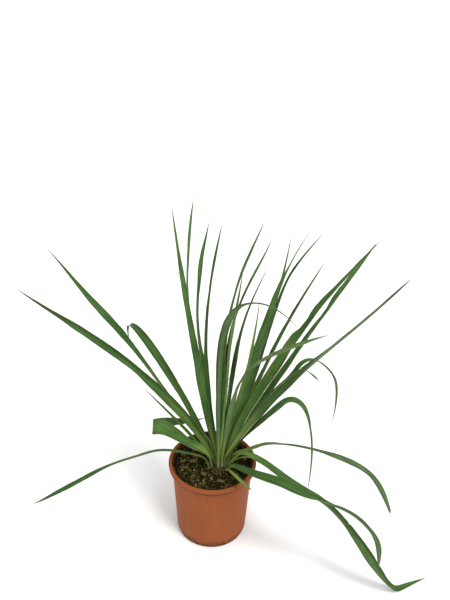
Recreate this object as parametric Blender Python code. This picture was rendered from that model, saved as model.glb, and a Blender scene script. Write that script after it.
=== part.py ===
"""Potted yucca: a stemless rosette of long channelled leaves in a round plastic nursery pot.

Metres, +Z up. The origin is the centre of the pot's base, on the surface the pot stands on.
+X is to the right and -Y to the front. Every leaf is a thin blade with a channelled section,
swept along its own arch: it leaves the crown at its seat, climbs and droops by its rise
angles, swings by its headings, and turns about its own midrib by its twists.
"""

import math

import bmesh
import bpy
import numpy as np
from mathutils import Vector

# ---------------------------------------------------------------- pot (mm)
RIM_D = 170.0  # over the rolled rim
POT_H = 170.0
RIM_DROP = 9.5  # height of the rim's outer skirt
RIM_LIP = 7.0  # width of the rim, seen from above
SKIRT_T = 1.8
WALL_T = 1.8
BODY_TOP_D = 155.0  # body just under the rim
BODY_LOW_D = 137.5  # body just above the lower chamfer
FOOT_D = 130.5  # flat foot that the pot stands on
CHAMFER_H = 6.5
FLOOR_T = 2.6
POT_SEGMENTS = 56
DRAINS = 8
DRAIN_D = 9.0
DRAIN_RING_R = 47.0

# ---------------------------------------------------------------- soil and crown (mm)
SOIL_Z = 157.6
SOIL_RELIEF = 1.1
GAP = 0.35  # between pieces that touch
CROWN_X, CROWN_Y = 13.0, -6.0  # the rosette sits a little off the pot's axis
CROWN_R = 17.0
CROWN_DEPTH = 42.0

# ---------------------------------------------------------------- leaf blade
# Width along the blade, as a share of its widest place.
WIDTH_AT = (0.0, 0.1, 0.3, 0.5, 0.7, 0.87, 1.0)
WIDTH = (0.32, 0.46, 0.78, 1.0, 0.80, 0.42, 0.03)
# Solid core of the blade: narrower than the leaf where the leaves crowd at the crown.
CORE_AT = (0.0, 0.1, 0.3, 1.0)
CORE = (0.62, 0.72, 0.9, 0.9)
# Angle by which each half of the blade is folded up from flat, in degrees.
FOLD_AT = (0.0, 0.15, 0.5, 0.85, 1.0)
FOLD = (38.0, 30.0, 20.0, 24.0, 30.0)
# Thickness at the midrib, in mm.
THICK_AT = (0.0, 0.1, 0.5, 1.0)
THICK = (1.2, 1.2, 1.02, 0.45)
TWIST_AT = (0.0, 0.12, 0.3, 0.5, 0.7, 0.88, 1.0)
RISE_AT = (0.0, 0.12, 0.3, 0.5, 0.7, 0.88, 1.0)
HEADING_AT = (0.0, 0.33, 0.66, 1.0)
BLADE_STEPS = 22

LEAF_GREEN = (0.085, 0.19, 0.045)
BRIGHT_GREEN = (0.19, 0.30, 0.06)
GREY_GREEN = (0.13, 0.21, 0.11)

# Each leaf: seat (x, y from the crown's centre, z from the ground; mm), length and greatest
# width (mm), how full the outer half is, rise angles and headings (degrees; heading 0 is to
# +X, 90 to the back), and twists about the midrib (degrees).
LEAVES = {
    "leaf_left_long": dict(
        seat=(-8.5, 4, 165), length=510, width=29, full=1.0, colour=LEAF_GREEN,
        rise=(67, 58, 44, 38, 30, 28, 32), heading=(164, 166, 166, 160),
        twist=(0, -35, -20, 15, 5, 20, 20)),
    "leaf_left_upper": dict(
        seat=(-11, 7, 166), length=520, width=23, full=1.0, colour=LEAF_GREEN,
        rise=(59, 47, 42, 45, 39, 44, 41), heading=(150, 148, 153, 151),
        twist=(0, 0, 45, 25, 0, 15, 30)),
    "leaf_left_bent": dict(
        seat=(-5.5, 9, 167), length=390, width=24, full=1.0, colour=LEAF_GREEN,
        rise_at=(0, 0.15, 0.4, 0.65, 0.8, 0.9, 0.95, 1),
        rise=(57, 55, 47, 27, -2, -44, -81, -106), heading=(149, 143, 130, 110),
        twist=(0, -25, 10, 18, 2, -15, -30)),
    "leaf_left_slender": dict(
        seat=(-15.5, 3, 163), length=215, width=9, full=1.0, colour=BRIGHT_GREEN,
        rise=(71, 63, 53, 51, 50, 50, 51), heading=(176, 175, 175, 174),
        twist=(0, -20, -20, -5, 0, 0, 0)),
    "leaf_left_creased": dict(
        seat=(-15.5, -4, 162), length=294, width=28, full=1.0, colour=LEAF_GREEN,
        rise_at=(0, 0.07, 0.17, 0.28, 0.39, 0.49, 0.56, 0.75, 1),
        rise=(87, 75, 51, 37, 30, 24, 11, -1, 14),
        heading_at=(0, 0.2, 0.4, 0.53, 0.61, 0.8, 1),
        heading=(168, 191, 169, 208, 194, 195, 160),
        twist_at=(0, 0.07, 0.17, 0.28, 0.39, 0.48, 0.7, 1),
        twist=(0, -15, -50, -95, -75, -75, -40, -30),
        crease=(0.55, 148)),
    "leaf_left_low": dict(
        seat=(-19, -5.5, 160), length=378, width=17, full=1.1, colour=LEAF_GREEN,
        rise_at=(0, 0.06, 0.12, 0.2, 0.3, 0.4, 0.5, 0.6, 0.7, 0.8, 0.9, 1),
        rise=(85, 60, 30, 27, 16, -8, -9, -21, -25, -24, -27, -19),
        heading=(198, 198, 197, 188),
        twist=(0, 5, 30, 40, 10, -10, -20)),
    "leaf_young_left": dict(
        seat=(-6.5, 2.5, 168), length=68, width=5, full=1.0, colour=BRIGHT_GREEN,
        rise=(61, 69, 76, 77, 63, 46, 35), heading=(152, 148, 150, 160),
        twist=(0, 0, 0, 5, 5, 0, 0)),
    "leaf_upright_1": dict(
        seat=(-5, 7, 169), length=495, width=24, full=1.0, colour=LEAF_GREEN,
        rise=(74, 65, 68, 64, 62, 57, 54), heading=(126, 122, 113, 102),
        twist=(0, -20, 5, 36, 44, 52, 45)),
    "leaf_upright_2": dict(
        seat=(-3, 12.5, 167), length=515, width=17, full=1.0, colour=LEAF_GREEN,
        rise=(59, 53, 58, 62, 57, 52, 53), heading=(113, 118, 94, 78),
        twist=(0, -5, 15, 55, 80, 50, 30)),
    "leaf_upright_3": dict(
        seat=(0.5, 4.5, 170), length=470, width=20, full=0.9, colour=LEAF_GREEN,
        rise=(47, 58, 65, 55, 54, 51, 72), heading=(114, 114, 90, 63),
        twist=(0, -10, 12, 60, 76, 36, 36)),
    "leaf_upright_4": dict(
        seat=(0.5, 2.5, 172), length=460, width=16, full=1.0, colour=LEAF_GREEN,
        rise=(63, 58, 67, 72, 65, 62, 65), heading=(114, 104, 80, 67),
        twist=(0, -30, -40, -65, -60, -30, -15)),
    "leaf_front_broad": dict(
        seat=(-1.5, -8.5, 168), length=580, width=22, full=0.8, colour=GREY_GREEN,
        rise_at=(0, 0.15, 0.35, 0.5, 0.6, 0.7, 0.85, 1),
        rise=(88, 88, 87, 80, 66, 48, 22, -14), heading=(-87, -75, -63, -55),
        twist=(0, 0, 25, 20, -10, -20, -25)),
    "leaf_back_1": dict(
        seat=(2, 9.5, 169), length=490, width=14, full=1.0, colour=LEAF_GREEN,
        rise=(86, 89, 86, 78, 63, 51, 51), heading=(77, 78, 62, 50),
        twist=(0, 0, -15, -42, -48, -8, 10)),
    "leaf_inner_bright": dict(
        seat=(1.5, -3.5, 171), length=460, width=10, full=1.0, colour=BRIGHT_GREEN,
        rise=(85, 84, 84, 87, 80, 78, 82), heading=(-61, -58, -59, -63),
        twist=(0, 10, 25, 30, 10, 5, 0)),
    "leaf_back_2": dict(
        seat=(3, 11, 167), length=470, width=13, full=1.0, colour=LEAF_GREEN,
        rise=(87, 87, 87, 84, 59, 46, 62), heading=(60, 55, 52, 49),
        twist=(0, -25, -15, -34, -38, -10, 0)),
    "leaf_inner_1": dict(
        seat=(0.5, 0.5, 172), length=405, width=14, full=1.0, colour=LEAF_GREEN,
        rise=(80, 77, 81, 80, 71, 58, 56), heading=(51, 52, 47, 44),
        twist=(0, -5, -15, -10, -30, -35, -25)),
    "leaf_back_3": dict(
        seat=(5, 7.5, 168), length=460, width=13, full=1.0, colour=LEAF_GREEN,
        rise=(53, 54, 56, 57, 66, 77, 85), heading=(63, 57, 52, 46),
        twist=(0, 5, -10, -25, -25, -20, -10)),
    "leaf_back_broad": dict(
        seat=(4, 5.5, 169), length=485, width=28, full=0.9, colour=LEAF_GREEN,
        rise=(70, 70, 71, 72, 72, 61, 47), heading=(41, 35, 33, 31),
        twist=(0, 25, 15, -10, -5, -45, -45)),
    "leaf_back_4": dict(
        seat=(8.5, 9.5, 166), length=485, width=16, full=1.0, colour=LEAF_GREEN,
        rise=(63, 62, 66, 72, 71, 46, 42), heading=(48, 43, 37, 30),
        twist=(0, 5, -10, -20, -25, -15, 5)),
    "leaf_inner_2": dict(
        seat=(3.5, 2.5, 171), length=365, width=13, full=1.0, colour=BRIGHT_GREEN,
        rise=(78, 76, 78, 77, 83, 86, 91), heading=(19, 20, 14, 1),
        twist=(0, 10, 0, -5, 10, 10, 10)),
    "leaf_front_twisted": dict(
        seat=(5, -5.5, 168), length=475, width=19, full=1.0, colour=GREY_GREEN,
        rise_at=(0, 0.12, 0.28, 0.42, 0.55, 0.7, 0.85, 1),
        rise=(86, 81, 79, 76, 58, 46, 42, 38), heading=(-44, -48, -43, -38),
        twist=(0, -35, -10, 25, -25, -60, -60)),
    "leaf_right_1": dict(
        seat=(6.5, 2.5, 168), length=445, width=20, full=1.0, colour=LEAF_GREEN,
        rise=(69, 74, 64, 67, 62, 58, 58), heading=(23, 22, 28, 28),
        twist=(0, 25, 10, -20, -24, -25, -15)),
    "leaf_right_broad": dict(
        seat=(12.5, 0, 167), length=530, width=29, full=0.9, colour=LEAF_GREEN,
        rise=(83, 72, 63, 61, 56, 51, 51), heading=(7, 12, 14, 13),
        twist=(0, 42, 17, 5, -8, -5, 0)),
    "leaf_right_2": dict(
        seat=(14, 5.5, 165), length=510, width=22, full=1.1, colour=LEAF_GREEN,
        rise=(72, 63, 56, 57, 56, 57, 56), heading=(23, 21, 21, 21),
        twist=(0, 20, 5, -15, -20, 0, 30)),
    "leaf_right_long": dict(
        seat=(8, -3, 167), length=535, width=29, full=1.0, colour=GREY_GREEN,
        rise=(77, 64, 58, 54, 52, 54, 59), heading=(-14, -8, -9, -8),
        twist=(0, 40, 25, 0, -25, -10, 25)),
    "leaf_right_drooping": dict(
        seat=(15.3, 2.5, 164.5), length=491, width=14, full=0.9, colour=LEAF_GREEN,
        rise_at=(0, 0.1, 0.2, 0.35, 0.45, 0.52, 0.58, 0.64, 0.72, 0.85, 1),
        rise=(80, 75, 61, 53, 41, 54, -8, -44, -55, -84, -96), heading=(-19, 11, 30, 29),
        twist=(0, 30, 25, -8, -13, -15, -18)),
    "leaf_right_arched": dict(
        seat=(14.5, -2.5, 165), length=450, width=20, full=1.0, colour=LEAF_GREEN,
        rise_at=(0, 0.15, 0.3, 0.42, 0.52, 0.62, 0.8, 1),
        rise=(79, 63, 55, 57, 51, 25, -35, -88), heading=(-4, -34, -71, -104),
        twist_at=(0, 0.12, 0.25, 0.38, 0.5, 0.6, 0.7, 0.85, 1),
        twist=(0, 40, 35, 38, 48, 9, -46, -93, -100)),
    "leaf_right_low": dict(
        seat=(18.5, -0.5, 162), length=424, width=16, full=1.2, colour=BRIGHT_GREEN,
        rise_at=(0, 0.06, 0.12, 0.2, 0.3, 0.4, 0.5, 0.6, 0.7, 0.8, 0.9, 1),
        rise=(91, 64, 34, 36, 15, 0, -11, -20, -35, -55, -65, -71), heading=(-18, -15, -6, -5),
        twist_at=(0, 0.12, 0.2, 0.28, 0.36, 0.48, 0.6, 0.75, 0.88, 1),
        twist=(0, 31, 23, -18, -48, -57, -82, -68, -94, -97)),
    "leaf_front_hanging": dict(
        seat=(15, -12.5, 160), length=422, width=23, full=1.1, colour=LEAF_GREEN,
        rise_at=(0, 0.06, 0.12, 0.2, 0.3, 0.42, 0.52, 0.6, 0.7, 0.8, 0.9, 1),
        rise=(63, 49, 15, 15, 11, -5, -7, -13, -37, -55, -79, -85),
        heading=(-47, -35, -15, -26),
        twist_at=(0, 0.12, 0.25, 0.38, 0.48, 0.56, 0.64, 0.76, 0.88, 1),
        twist=(0, 58, 43, 16, -10, -41, -51, -53, -75, -99)),
    "leaf_floor": dict(
        seat=(18, -7, 162), length=548, width=28, full=1.1, colour=LEAF_GREEN,
        rise_at=(0, 0.08, 0.16, 0.26, 0.38, 0.5, 0.62, 0.74, 0.82, 0.87, 0.91, 0.95, 1),
        rise=(70, 58, 4, -19, -11, -43, -54, -57, -55, -43, 16, 11, 11),
        heading_at=(0, 0.4, 0.82, 0.92), heading=(-40, -27, -1, 19),
        twist_at=(0, 0.12, 0.25, 0.38, 0.48, 0.58, 0.7, 0.82, 0.92, 1),
        twist=(0, 3, -10, -19, -29, -8, 16, 8, -2, -2)),
    "leaf_young_front": dict(
        seat=(8, -15, 161), length=112, width=10, full=1.1, colour=BRIGHT_GREEN,
        rise=(64, 47, 25, 13, 9, 12, 18), heading=(-63, -62, -58, -53),
        twist=(0, -5, -15, -20, -10, 5, 20)),
    "leaf_young_right": dict(
        seat=(20, 0, 160), length=76, width=5, full=1.0, colour=BRIGHT_GREEN,
        rise=(76, 59, 35, 11, -12, -28, -31), heading=(0, 0, 0, -6),
        twist=(0, 0, -5, -10, -5, -5, 0)),
}

# Bark chips that lie on the soil: x, y, length, width, thickness (mm), turn and tilt (degrees).
CHIPS = (
    (-37, 6, 14, 10, 3.2, 10, 4),
    (-54, -11, 17, 7, 3.0, 4, -3),
    (-57, 6, 11, 6, 2.6, 35, 3),
    (-39, 35, 10, 7, 2.8, 70, -4),
    (-36, -33, 13, 8, 3.0, 62, 3),
    (17, -45, 15, 6, 2.8, -14, -3),
    (-14, -53, 9, 6, 2.4, 40, 2),
    (-16, -27, 12, 6, 2.6, -35, 4),
    (46, -27, 12, 7, 3.0, 25, -4),
    (33, -54, 12, 5, 2.4, -30, 2),
    (62, 18, 11, 7, 2.8, 100, 3),
    (-58, 27, 10, 6, 2.6, -20, -2),
)


def clear_scene():
    for obj in list(bpy.data.objects):
        bpy.data.objects.remove(obj, do_unlink=True)


def material(name, colour, roughness, metallic=0.0):
    found = bpy.data.materials.get(name)
    if found:
        return found
    mat = bpy.data.materials.new(name)
    mat.use_nodes = True
    shader = mat.node_tree.nodes["Principled BSDF"]
    shader.inputs["Base Color"].default_value = (*colour, 1.0)
    shader.inputs["Roughness"].default_value = roughness
    shader.inputs["Metallic"].default_value = metallic
    mat.diffuse_color = (*colour, 1.0)
    return mat


def new_object(name, bm, mat, smooth_angle=None):
    bmesh.ops.recalc_face_normals(bm, faces=bm.faces)
    mesh = bpy.data.meshes.new(name)
    bm.to_mesh(mesh)
    bm.free()
    mesh.materials.append(mat)
    if smooth_angle is not None:
        mesh.shade_smooth()
        mesh.set_sharp_from_angle(angle=math.radians(smooth_angle))
    obj = bpy.data.objects.new(name, mesh)
    bpy.context.collection.objects.link(obj)
    return obj


def turned(profile, segments, centre=(0.0, 0.0)):
    """A closed solid turned about a vertical axis. The profile is a closed loop of (r, z) in mm;
    a point with r = 0 lies on the axis."""
    bm = bmesh.new()
    rings = []
    for r, z in profile:
        if r == 0:
            rings.append([bm.verts.new((centre[0] / 1000, centre[1] / 1000, z / 1000))])
            continue
        rings.append([
            bm.verts.new((
                (centre[0] + r * math.cos(2 * math.pi * k / segments)) / 1000,
                (centre[1] + r * math.sin(2 * math.pi * k / segments)) / 1000,
                z / 1000,
            ))
            for k in range(segments)
        ])
    on_axis = profile[0][0] == 0
    pairs = list(zip(rings, rings[1:])) + ([] if on_axis else [(rings[-1], rings[0])])
    for a, b in pairs:
        for k in range(segments):
            n = (k + 1) % segments
            if len(a) == 1:
                bm.faces.new((a[0], b[k], b[n]))
            elif len(b) == 1:
                bm.faces.new((a[k], a[n], b[0]))
            else:
                bm.faces.new((a[k], a[n], b[n], b[k]))
    return bm


def smooth_through(at, values, where):
    """A curve through the given values with no overshoot between them (monotone cubic)."""
    x = np.asarray(at, float)
    y = np.asarray(values, float)
    where = np.asarray(where, float)
    h = np.diff(x)
    slope = np.diff(y) / h
    d = np.zeros_like(y)
    for k in range(1, len(x) - 1):
        if slope[k - 1] * slope[k] > 0:
            w1 = 2 * h[k] + h[k - 1]
            w2 = h[k] + 2 * h[k - 1]
            d[k] = (w1 + w2) / (w1 / slope[k - 1] + w2 / slope[k])

    def end(h0, h1, s0, s1):
        e = ((2 * h0 + h1) * s0 - h0 * s1) / (h0 + h1)
        if e * s0 <= 0:
            return 0.0
        if s0 * s1 <= 0 and abs(e) > 3 * abs(s0):
            return 3 * s0
        return e

    d[0] = end(h[0], h[1], slope[0], slope[1])
    d[-1] = end(h[-1], h[-2], slope[-1], slope[-2])
    k = np.clip(np.searchsorted(x, where, side="right") - 1, 0, len(x) - 2)
    t = (where - x[k]) / h[k]
    return (
        y[k] * (1 + 2 * t) * (1 - t) ** 2
        + h[k] * d[k] * t * (1 - t) ** 2
        + y[k + 1] * t**2 * (3 - 2 * t)
        + h[k] * d[k + 1] * t**2 * (t - 1)
    )


def turn_about(vectors, axis, angle):
    """Vectors turned about a unit axis (Rodrigues)."""
    angle = np.asarray(angle)[:, None]
    along = (vectors @ axis)[:, None] * axis
    return along + (vectors - along) * np.cos(angle) + np.cross(axis, vectors) * np.sin(angle)


def blade_frame(leaf, steps):
    """Stations along the leaf: share of the length, point (m), and the unit vectors along
    the blade, across it, and out of its upper face."""
    s = np.linspace(0.0, 1.0, steps + 1)
    rise = np.radians(smooth_through(leaf.get("rise_at", RISE_AT), leaf["rise"], s))
    heading_at = leaf.get("heading_at", HEADING_AT)
    heading = np.radians(
        smooth_through(heading_at, leaf["heading"], np.minimum(s, heading_at[-1])))
    twist = np.radians(smooth_through(leaf.get("twist_at", TWIST_AT), leaf["twist"], s))
    along = np.stack([
        np.cos(rise) * np.cos(heading), np.cos(rise) * np.sin(heading), np.sin(rise)], 1)
    level = np.stack([-np.sin(heading), np.cos(heading), 0 * s], 1)
    up = np.cross(along, level)
    c, n = np.cos(twist)[:, None], np.sin(twist)[:, None]
    across = c * level + n * up
    out = -n * level + c * up
    if "crease" in leaf:
        # The blade is broken over a line across it: past the crease, everything turns about it.
        at, angle = leaf["crease"]
        k = int(np.argmin(np.abs(s - at)))
        ramp = np.clip((s - at) * leaf["length"] / 9.0 + 0.5, 0, 1)
        turn = -np.radians(angle) * ramp * ramp * (3 - 2 * ramp)
        axis = -across[k]
        along, across, out = (turn_about(v, axis, turn) for v in (along, across, out))
    step = (along[1:] + along[:-1]) / 2 * leaf["length"] / 1000 / steps
    seat = np.array([
        CROWN_X + leaf["seat"][0], CROWN_Y + leaf["seat"][1], leaf["seat"][2]]) / 1000
    point = np.vstack([seat, seat + np.cumsum(step, 0)])
    return s, point, along, across, out


def leaf_solid(name, leaf):
    fine = 240
    s, point, along, across, out = blade_frame(leaf, fine)
    full = leaf["full"]
    share = np.array(WIDTH) * np.array((1, 1, 1, 1, full, full * full, 1))
    width = smooth_through(WIDTH_AT, share, s) * leaf["width"] / 1000
    width = width * smooth_through(CORE_AT, CORE, s)
    fold = np.radians(smooth_through(FOLD_AT, FOLD, s))
    thick = smooth_through(THICK_AT, THICK, s) / 1000
    stations = set(np.round(np.linspace(0, fine, BLADE_STEPS + 1)).astype(int).tolist())
    if "crease" in leaf:
        k = int(round(leaf["crease"][0] * fine))
        stations = {i for i in stations if abs(i - k) > 7} | set(range(k - 6, k + 7, 2))
        near = np.exp(-(((s - leaf["crease"][0]) * leaf["length"] / 22.0) ** 2))
        fold = fold * (1 - 0.85 * near)
    bm = bmesh.new()
    rings = []
    for i in sorted(stations):
        p = Vector(point[i])
        side = Vector(across[i]) * (width[i] / 2 * math.cos(fold[i]))
        lift = Vector(out[i]) * (width[i] / 2 * math.sin(fold[i]))
        half = Vector(out[i]) * (thick[i] / 2)
        rings.append([bm.verts.new(v) for v in
                      (p + side + lift, p - half, p - side + lift, p + half)])
    for a, b in zip(rings, rings[1:]):
        for k in range(4):
            n = (k + 1) % 4
            bm.faces.new((a[k], a[n], b[n], b[k]))
    bmesh.ops.triangulate(bm, faces=bm.faces)
    for ring in (rings[0], rings[-1]):
        bm.faces.new((ring[0], ring[1], ring[3]))
        bm.faces.new((ring[1], ring[2], ring[3]))
    colour = leaf["colour"]
    label = {LEAF_GREEN: "leaf_green", BRIGHT_GREEN: "leaf_bright", GREY_GREEN: "leaf_grey"}
    return new_object(name, bm, material(label[colour], colour, 0.42), 50)


def soil_height(x, y):
    """Top of the soil in mm: nearly level, with low lumps and a little heap round the crown."""
    lumps = (
        math.sin(x * 0.11 + 1.3) * math.cos(y * 0.13 - 0.4)
        + 0.6 * math.sin(x * 0.23 - y * 0.19 + 2.1)
        + 0.4 * math.cos(x * 0.31 + y * 0.27)
    )
    r = math.hypot(x - CROWN_X, y - CROWN_Y)
    return SOIL_Z + SOIL_RELIEF * 0.5 * lumps - 0.6 * math.exp(-((r / 26.0) ** 2))


def pot():
    rim_r = RIM_D / 2
    lip_in = rim_r - RIM_LIP
    body_r = BODY_TOP_D / 2
    low_r = BODY_LOW_D / 2
    foot_r = FOOT_D / 2
    skirt_z = POT_H - RIM_DROP
    profile = [
        (0.0, 0.0),
        (foot_r, 0.0),
        (foot_r + 1.2, 0.6),
        (low_r - 0.8, CHAMFER_H - 1.5),
        (low_r, CHAMFER_H + 1.5),
        (body_r, skirt_z - 1.0),
        (body_r + 1.6, skirt_z + 4.0),
        (lip_in + WALL_T, POT_H - 3.6),
        (rim_r - SKIRT_T - 1.6, POT_H - 3.6),
        (rim_r - SKIRT_T - 0.4, POT_H - 4.8),
        (rim_r - SKIRT_T - 0.8, skirt_z),
        (rim_r - 0.9, skirt_z),
        (rim_r - 0.1, POT_H - 3.4),
        (rim_r - 0.9, POT_H - 1.2),
        (rim_r - 2.6, POT_H),
        (lip_in + 1.6, POT_H),
        (lip_in + 0.2, POT_H - 1.0),
        (lip_in - 0.3, POT_H - 3.0),
        (body_r - WALL_T, skirt_z - 1.0),
        (low_r - WALL_T, CHAMFER_H + 2.5),
        (foot_r - 1.0, FLOOR_T + 0.8),
        (foot_r - 3.0, FLOOR_T),
        (0.0, FLOOR_T),
    ]
    obj = new_object("pot", turned(profile, POT_SEGMENTS),
                     material("terracotta_plastic", (0.36, 0.115, 0.045), 0.55), 35)
    # Drain holes through the floor, and slots through the chamfer between them.
    bm = bmesh.new()
    for k in range(DRAINS):
        a = 2 * math.pi * k / DRAINS
        made = bmesh.ops.create_cone(
            bm, cap_ends=True, segments=12, radius1=DRAIN_D / 2000, radius2=DRAIN_D / 2000,
            depth=0.012)
        bmesh.ops.translate(bm, verts=made["verts"], vec=(
            DRAIN_RING_R / 1000 * math.cos(a), DRAIN_RING_R / 1000 * math.sin(a), 0.001))
        b = a + math.pi / DRAINS
        slot = bmesh.ops.create_cone(
            bm, cap_ends=True, segments=10, radius1=0.0036, radius2=0.0036, depth=0.016)
        bmesh.ops.rotate(bm, verts=slot["verts"], cent=(0, 0, 0), matrix=(
            Vector((0, 0, 1)).rotation_difference(
                Vector((math.cos(b), math.sin(b), -0.15))).to_matrix()))
        bmesh.ops.translate(bm, verts=slot["verts"], vec=(
            0.0666 * math.cos(b), 0.0666 * math.sin(b), 0.0052))
    cutter = new_object("drain_cutter", bm, obj.data.materials[0])
    cutter.hide_render = True
    cutter.display_type = "WIRE"
    cut = obj.modifiers.new("drains", "BOOLEAN")
    cut.operation = "DIFFERENCE"
    cut.object = cutter
    cut.solver = "EXACT"
    return obj


def inner_radius(z):
    """Radius of the pot's inner wall at a height, in mm."""
    top_z = POT_H - RIM_DROP - 1.0
    low_z = CHAMFER_H + 2.5
    top = BODY_TOP_D / 2 - WALL_T
    low = BODY_LOW_D / 2 - WALL_T
    return low + (top - low) * (z - low_z) / (top_z - low_z)


def soil():
    """The filled root ball: it follows the pot's inside, and has a pocket for the crown."""
    segments = 44
    flat_facet = math.cos(math.pi / POT_SEGMENTS)
    def wall(z):
        return inner_radius(z) * flat_facet - GAP
    outline = [
        (FOOT_D / 2 - 5.0, FLOOR_T + GAP),
        (wall(CHAMFER_H + 3.0), CHAMFER_H + 3.5),
        (wall(80.0), 80.0),
        (wall(SOIL_Z - 3.0) - 0.2, SOIL_Z - 3.0),
    ]
    pocket = CROWN_R + 1.2
    bm = bmesh.new()
    low = bm.verts.new((0, 0, (FLOOR_T + GAP) / 1000))
    rings = []
    for r, z in outline:
        rings.append([bm.verts.new((
            r * math.cos(2 * math.pi * k / segments) / 1000,
            r * math.sin(2 * math.pi * k / segments) / 1000, z / 1000))
            for k in range(segments)])
    # Top surface: rings that pass from the pot's round wall to the round pocket.
    edge = outline[-1][0] - 0.8
    for t in (1.0, 0.86, 0.72, 0.58, 0.44, 0.3, 0.15, 0.0):
        ring = []
        for k in range(segments):
            a = 2 * math.pi * k / segments
            x = (1 - t) * (CROWN_X + pocket * math.cos(a)) + t * edge * math.cos(a)
            y = (1 - t) * (CROWN_Y + pocket * math.sin(a)) + t * edge * math.sin(a)
            ring.append(bm.verts.new((x / 1000, y / 1000, soil_height(x, y) / 1000)))
        rings.append(ring)
    # Pocket, tapering down round the rootstock.
    for r, z in ((pocket - 1.0, SOIL_Z - 12.0), (9.0, SOIL_Z - CROWN_DEPTH + 4.0)):
        rings.append([bm.verts.new((
            (CROWN_X + r * math.cos(2 * math.pi * k / segments)) / 1000,
            (CROWN_Y + r * math.sin(2 * math.pi * k / segments)) / 1000, z / 1000))
            for k in range(segments)])
    deep = bm.verts.new((CROWN_X / 1000, CROWN_Y / 1000, (SOIL_Z - CROWN_DEPTH - 6.0) / 1000))
    for k in range(segments):
        n = (k + 1) % segments
        bm.faces.new((low, rings[0][k], rings[0][n]))
        for a, b in zip(rings, rings[1:]):
            bm.faces.new((a[k], a[n], b[n], b[k]))
        bm.faces.new((rings[-1][k], rings[-1][n], deep))
    bmesh.ops.triangulate(bm, faces=bm.faces)
    return new_object("soil", bm, material("potting_soil", (0.022, 0.014, 0.008), 0.95), 50)


def rootstock():
    """The short woody crown that the leaves sit on, with its root end in the soil."""
    top = 170.4
    profile = [
        (0.0, SOIL_Z - CROWN_DEPTH),
        (6.0, SOIL_Z - CROWN_DEPTH + 5.0),
        (CROWN_R - 1.6, SOIL_Z - 12.0),
        (CROWN_R, SOIL_Z - 2.0),
        (CROWN_R, SOIL_Z),
        (12.0, top - 8.2),
        (7.0, top - 5.0),
        (2.6, top - 1.6),
        (0.0, top - 0.8),
    ]
    return new_object("rootstock", turned(profile, 20, (CROWN_X, CROWN_Y)),
                      material("crown_bark", (0.16, 0.10, 0.045), 0.8), 40)


def bark_chip(index, spec):
    x, y, length, width, thick, turn, tilt = spec
    bm = bmesh.new()
    bmesh.ops.create_cube(bm, size=1.0)
    for k, v in enumerate(bm.verts):
        wobble = 0.10 * math.sin(5.1 * k + 2.3 * index)
        v.co.x *= length * (1 + wobble)
        v.co.y *= width * (1 + 0.16 * math.cos(3.7 * k + index))
        v.co.z *= thick
        if v.co.z > 0:
            v.co.x *= 0.82
            v.co.y *= 0.76
    bmesh.ops.bevel(bm, geom=bm.edges[:], offset=0.5, segments=1, affect="EDGES")
    a, t = math.radians(turn), math.radians(tilt)
    for v in bm.verts:
        px, py, pz = v.co
        px, pz = px * math.cos(t) - pz * math.sin(t), px * math.sin(t) + pz * math.cos(t)
        v.co = (x + px * math.cos(a) - py * math.sin(a),
                y + px * math.sin(a) + py * math.cos(a), pz)
    # The chip comes down until its lowest corner almost meets the soil's highest place under it.
    under = max(soil_height(v.co.x, v.co.y) for v in bm.verts)
    drop = under + GAP + 0.25 - min(v.co.z for v in bm.verts)
    for v in bm.verts:
        v.co = Vector((v.co.x, v.co.y, v.co.z + drop)) / 1000
    return new_object(f"bark_chip_{index:02d}", bm,
                      material("bark", (0.20, 0.12, 0.06), 0.9), 40)


def seedling():
    """A self-sown seedling beside the crown: one stalk with three small leaves."""
    x, y = -11.5, -2.0
    z = soil_height(x, y) + GAP + 0.3
    bm = bmesh.new()
    base = [bm.verts.new(((x + 0.7 * math.cos(a)) / 1000, (y + 0.7 * math.sin(a)) / 1000, z / 1000))
            for a in (math.radians(90), math.radians(210), math.radians(330))]
    tops = [bm.verts.new(((x + 0.9 * math.cos(a)) / 1000, (y + 0.9 * math.sin(a)) / 1000,
                          (z + 3.0) / 1000))
            for a in (math.radians(90), math.radians(210), math.radians(330))]
    crown = bm.verts.new((x / 1000, y / 1000, (z + 4.2) / 1000))
    bm.faces.new(base[::-1])
    for k in range(3):
        n = (k + 1) % 3
        a = math.radians(150 + 120 * k)
        tip = bm.verts.new(((x + 6.0 * math.cos(a)) / 1000, (y + 6.0 * math.sin(a)) / 1000,
                            (z + 6.5 + k) / 1000))
        bm.faces.new((base[k], base[n], tops[n], tops[k]))
        bm.faces.new((tops[k], tops[n], tip))
        bm.faces.new((tops[n], crown, tip))
        bm.faces.new((crown, tops[k], tip))
    return new_object("seedling", bm, material("seedling_green", (0.09, 0.22, 0.04), 0.5), 50)


def main():
    clear_scene()
    pot()
    soil()
    rootstock()
    for name, leaf in LEAVES.items():
        leaf_solid(name, leaf)
    for index, spec in enumerate(CHIPS, 1):
        bark_chip(index, spec)
    seedling()


main()
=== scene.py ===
"""Potted yucca: the visual model and its studio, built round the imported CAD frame.

Every shape is made here in mesh code: the leaves as thin channelled blades with wavering
margins, the moulded pot, the compost with its bark and fibre, and the fibrous crown. The
tables below repeat the CAD model's dimensions, in millimetres unless said otherwise.
"""

import math

import bmesh
import bpy
import numpy as np
from mathutils import Matrix, Vector, noise


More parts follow.
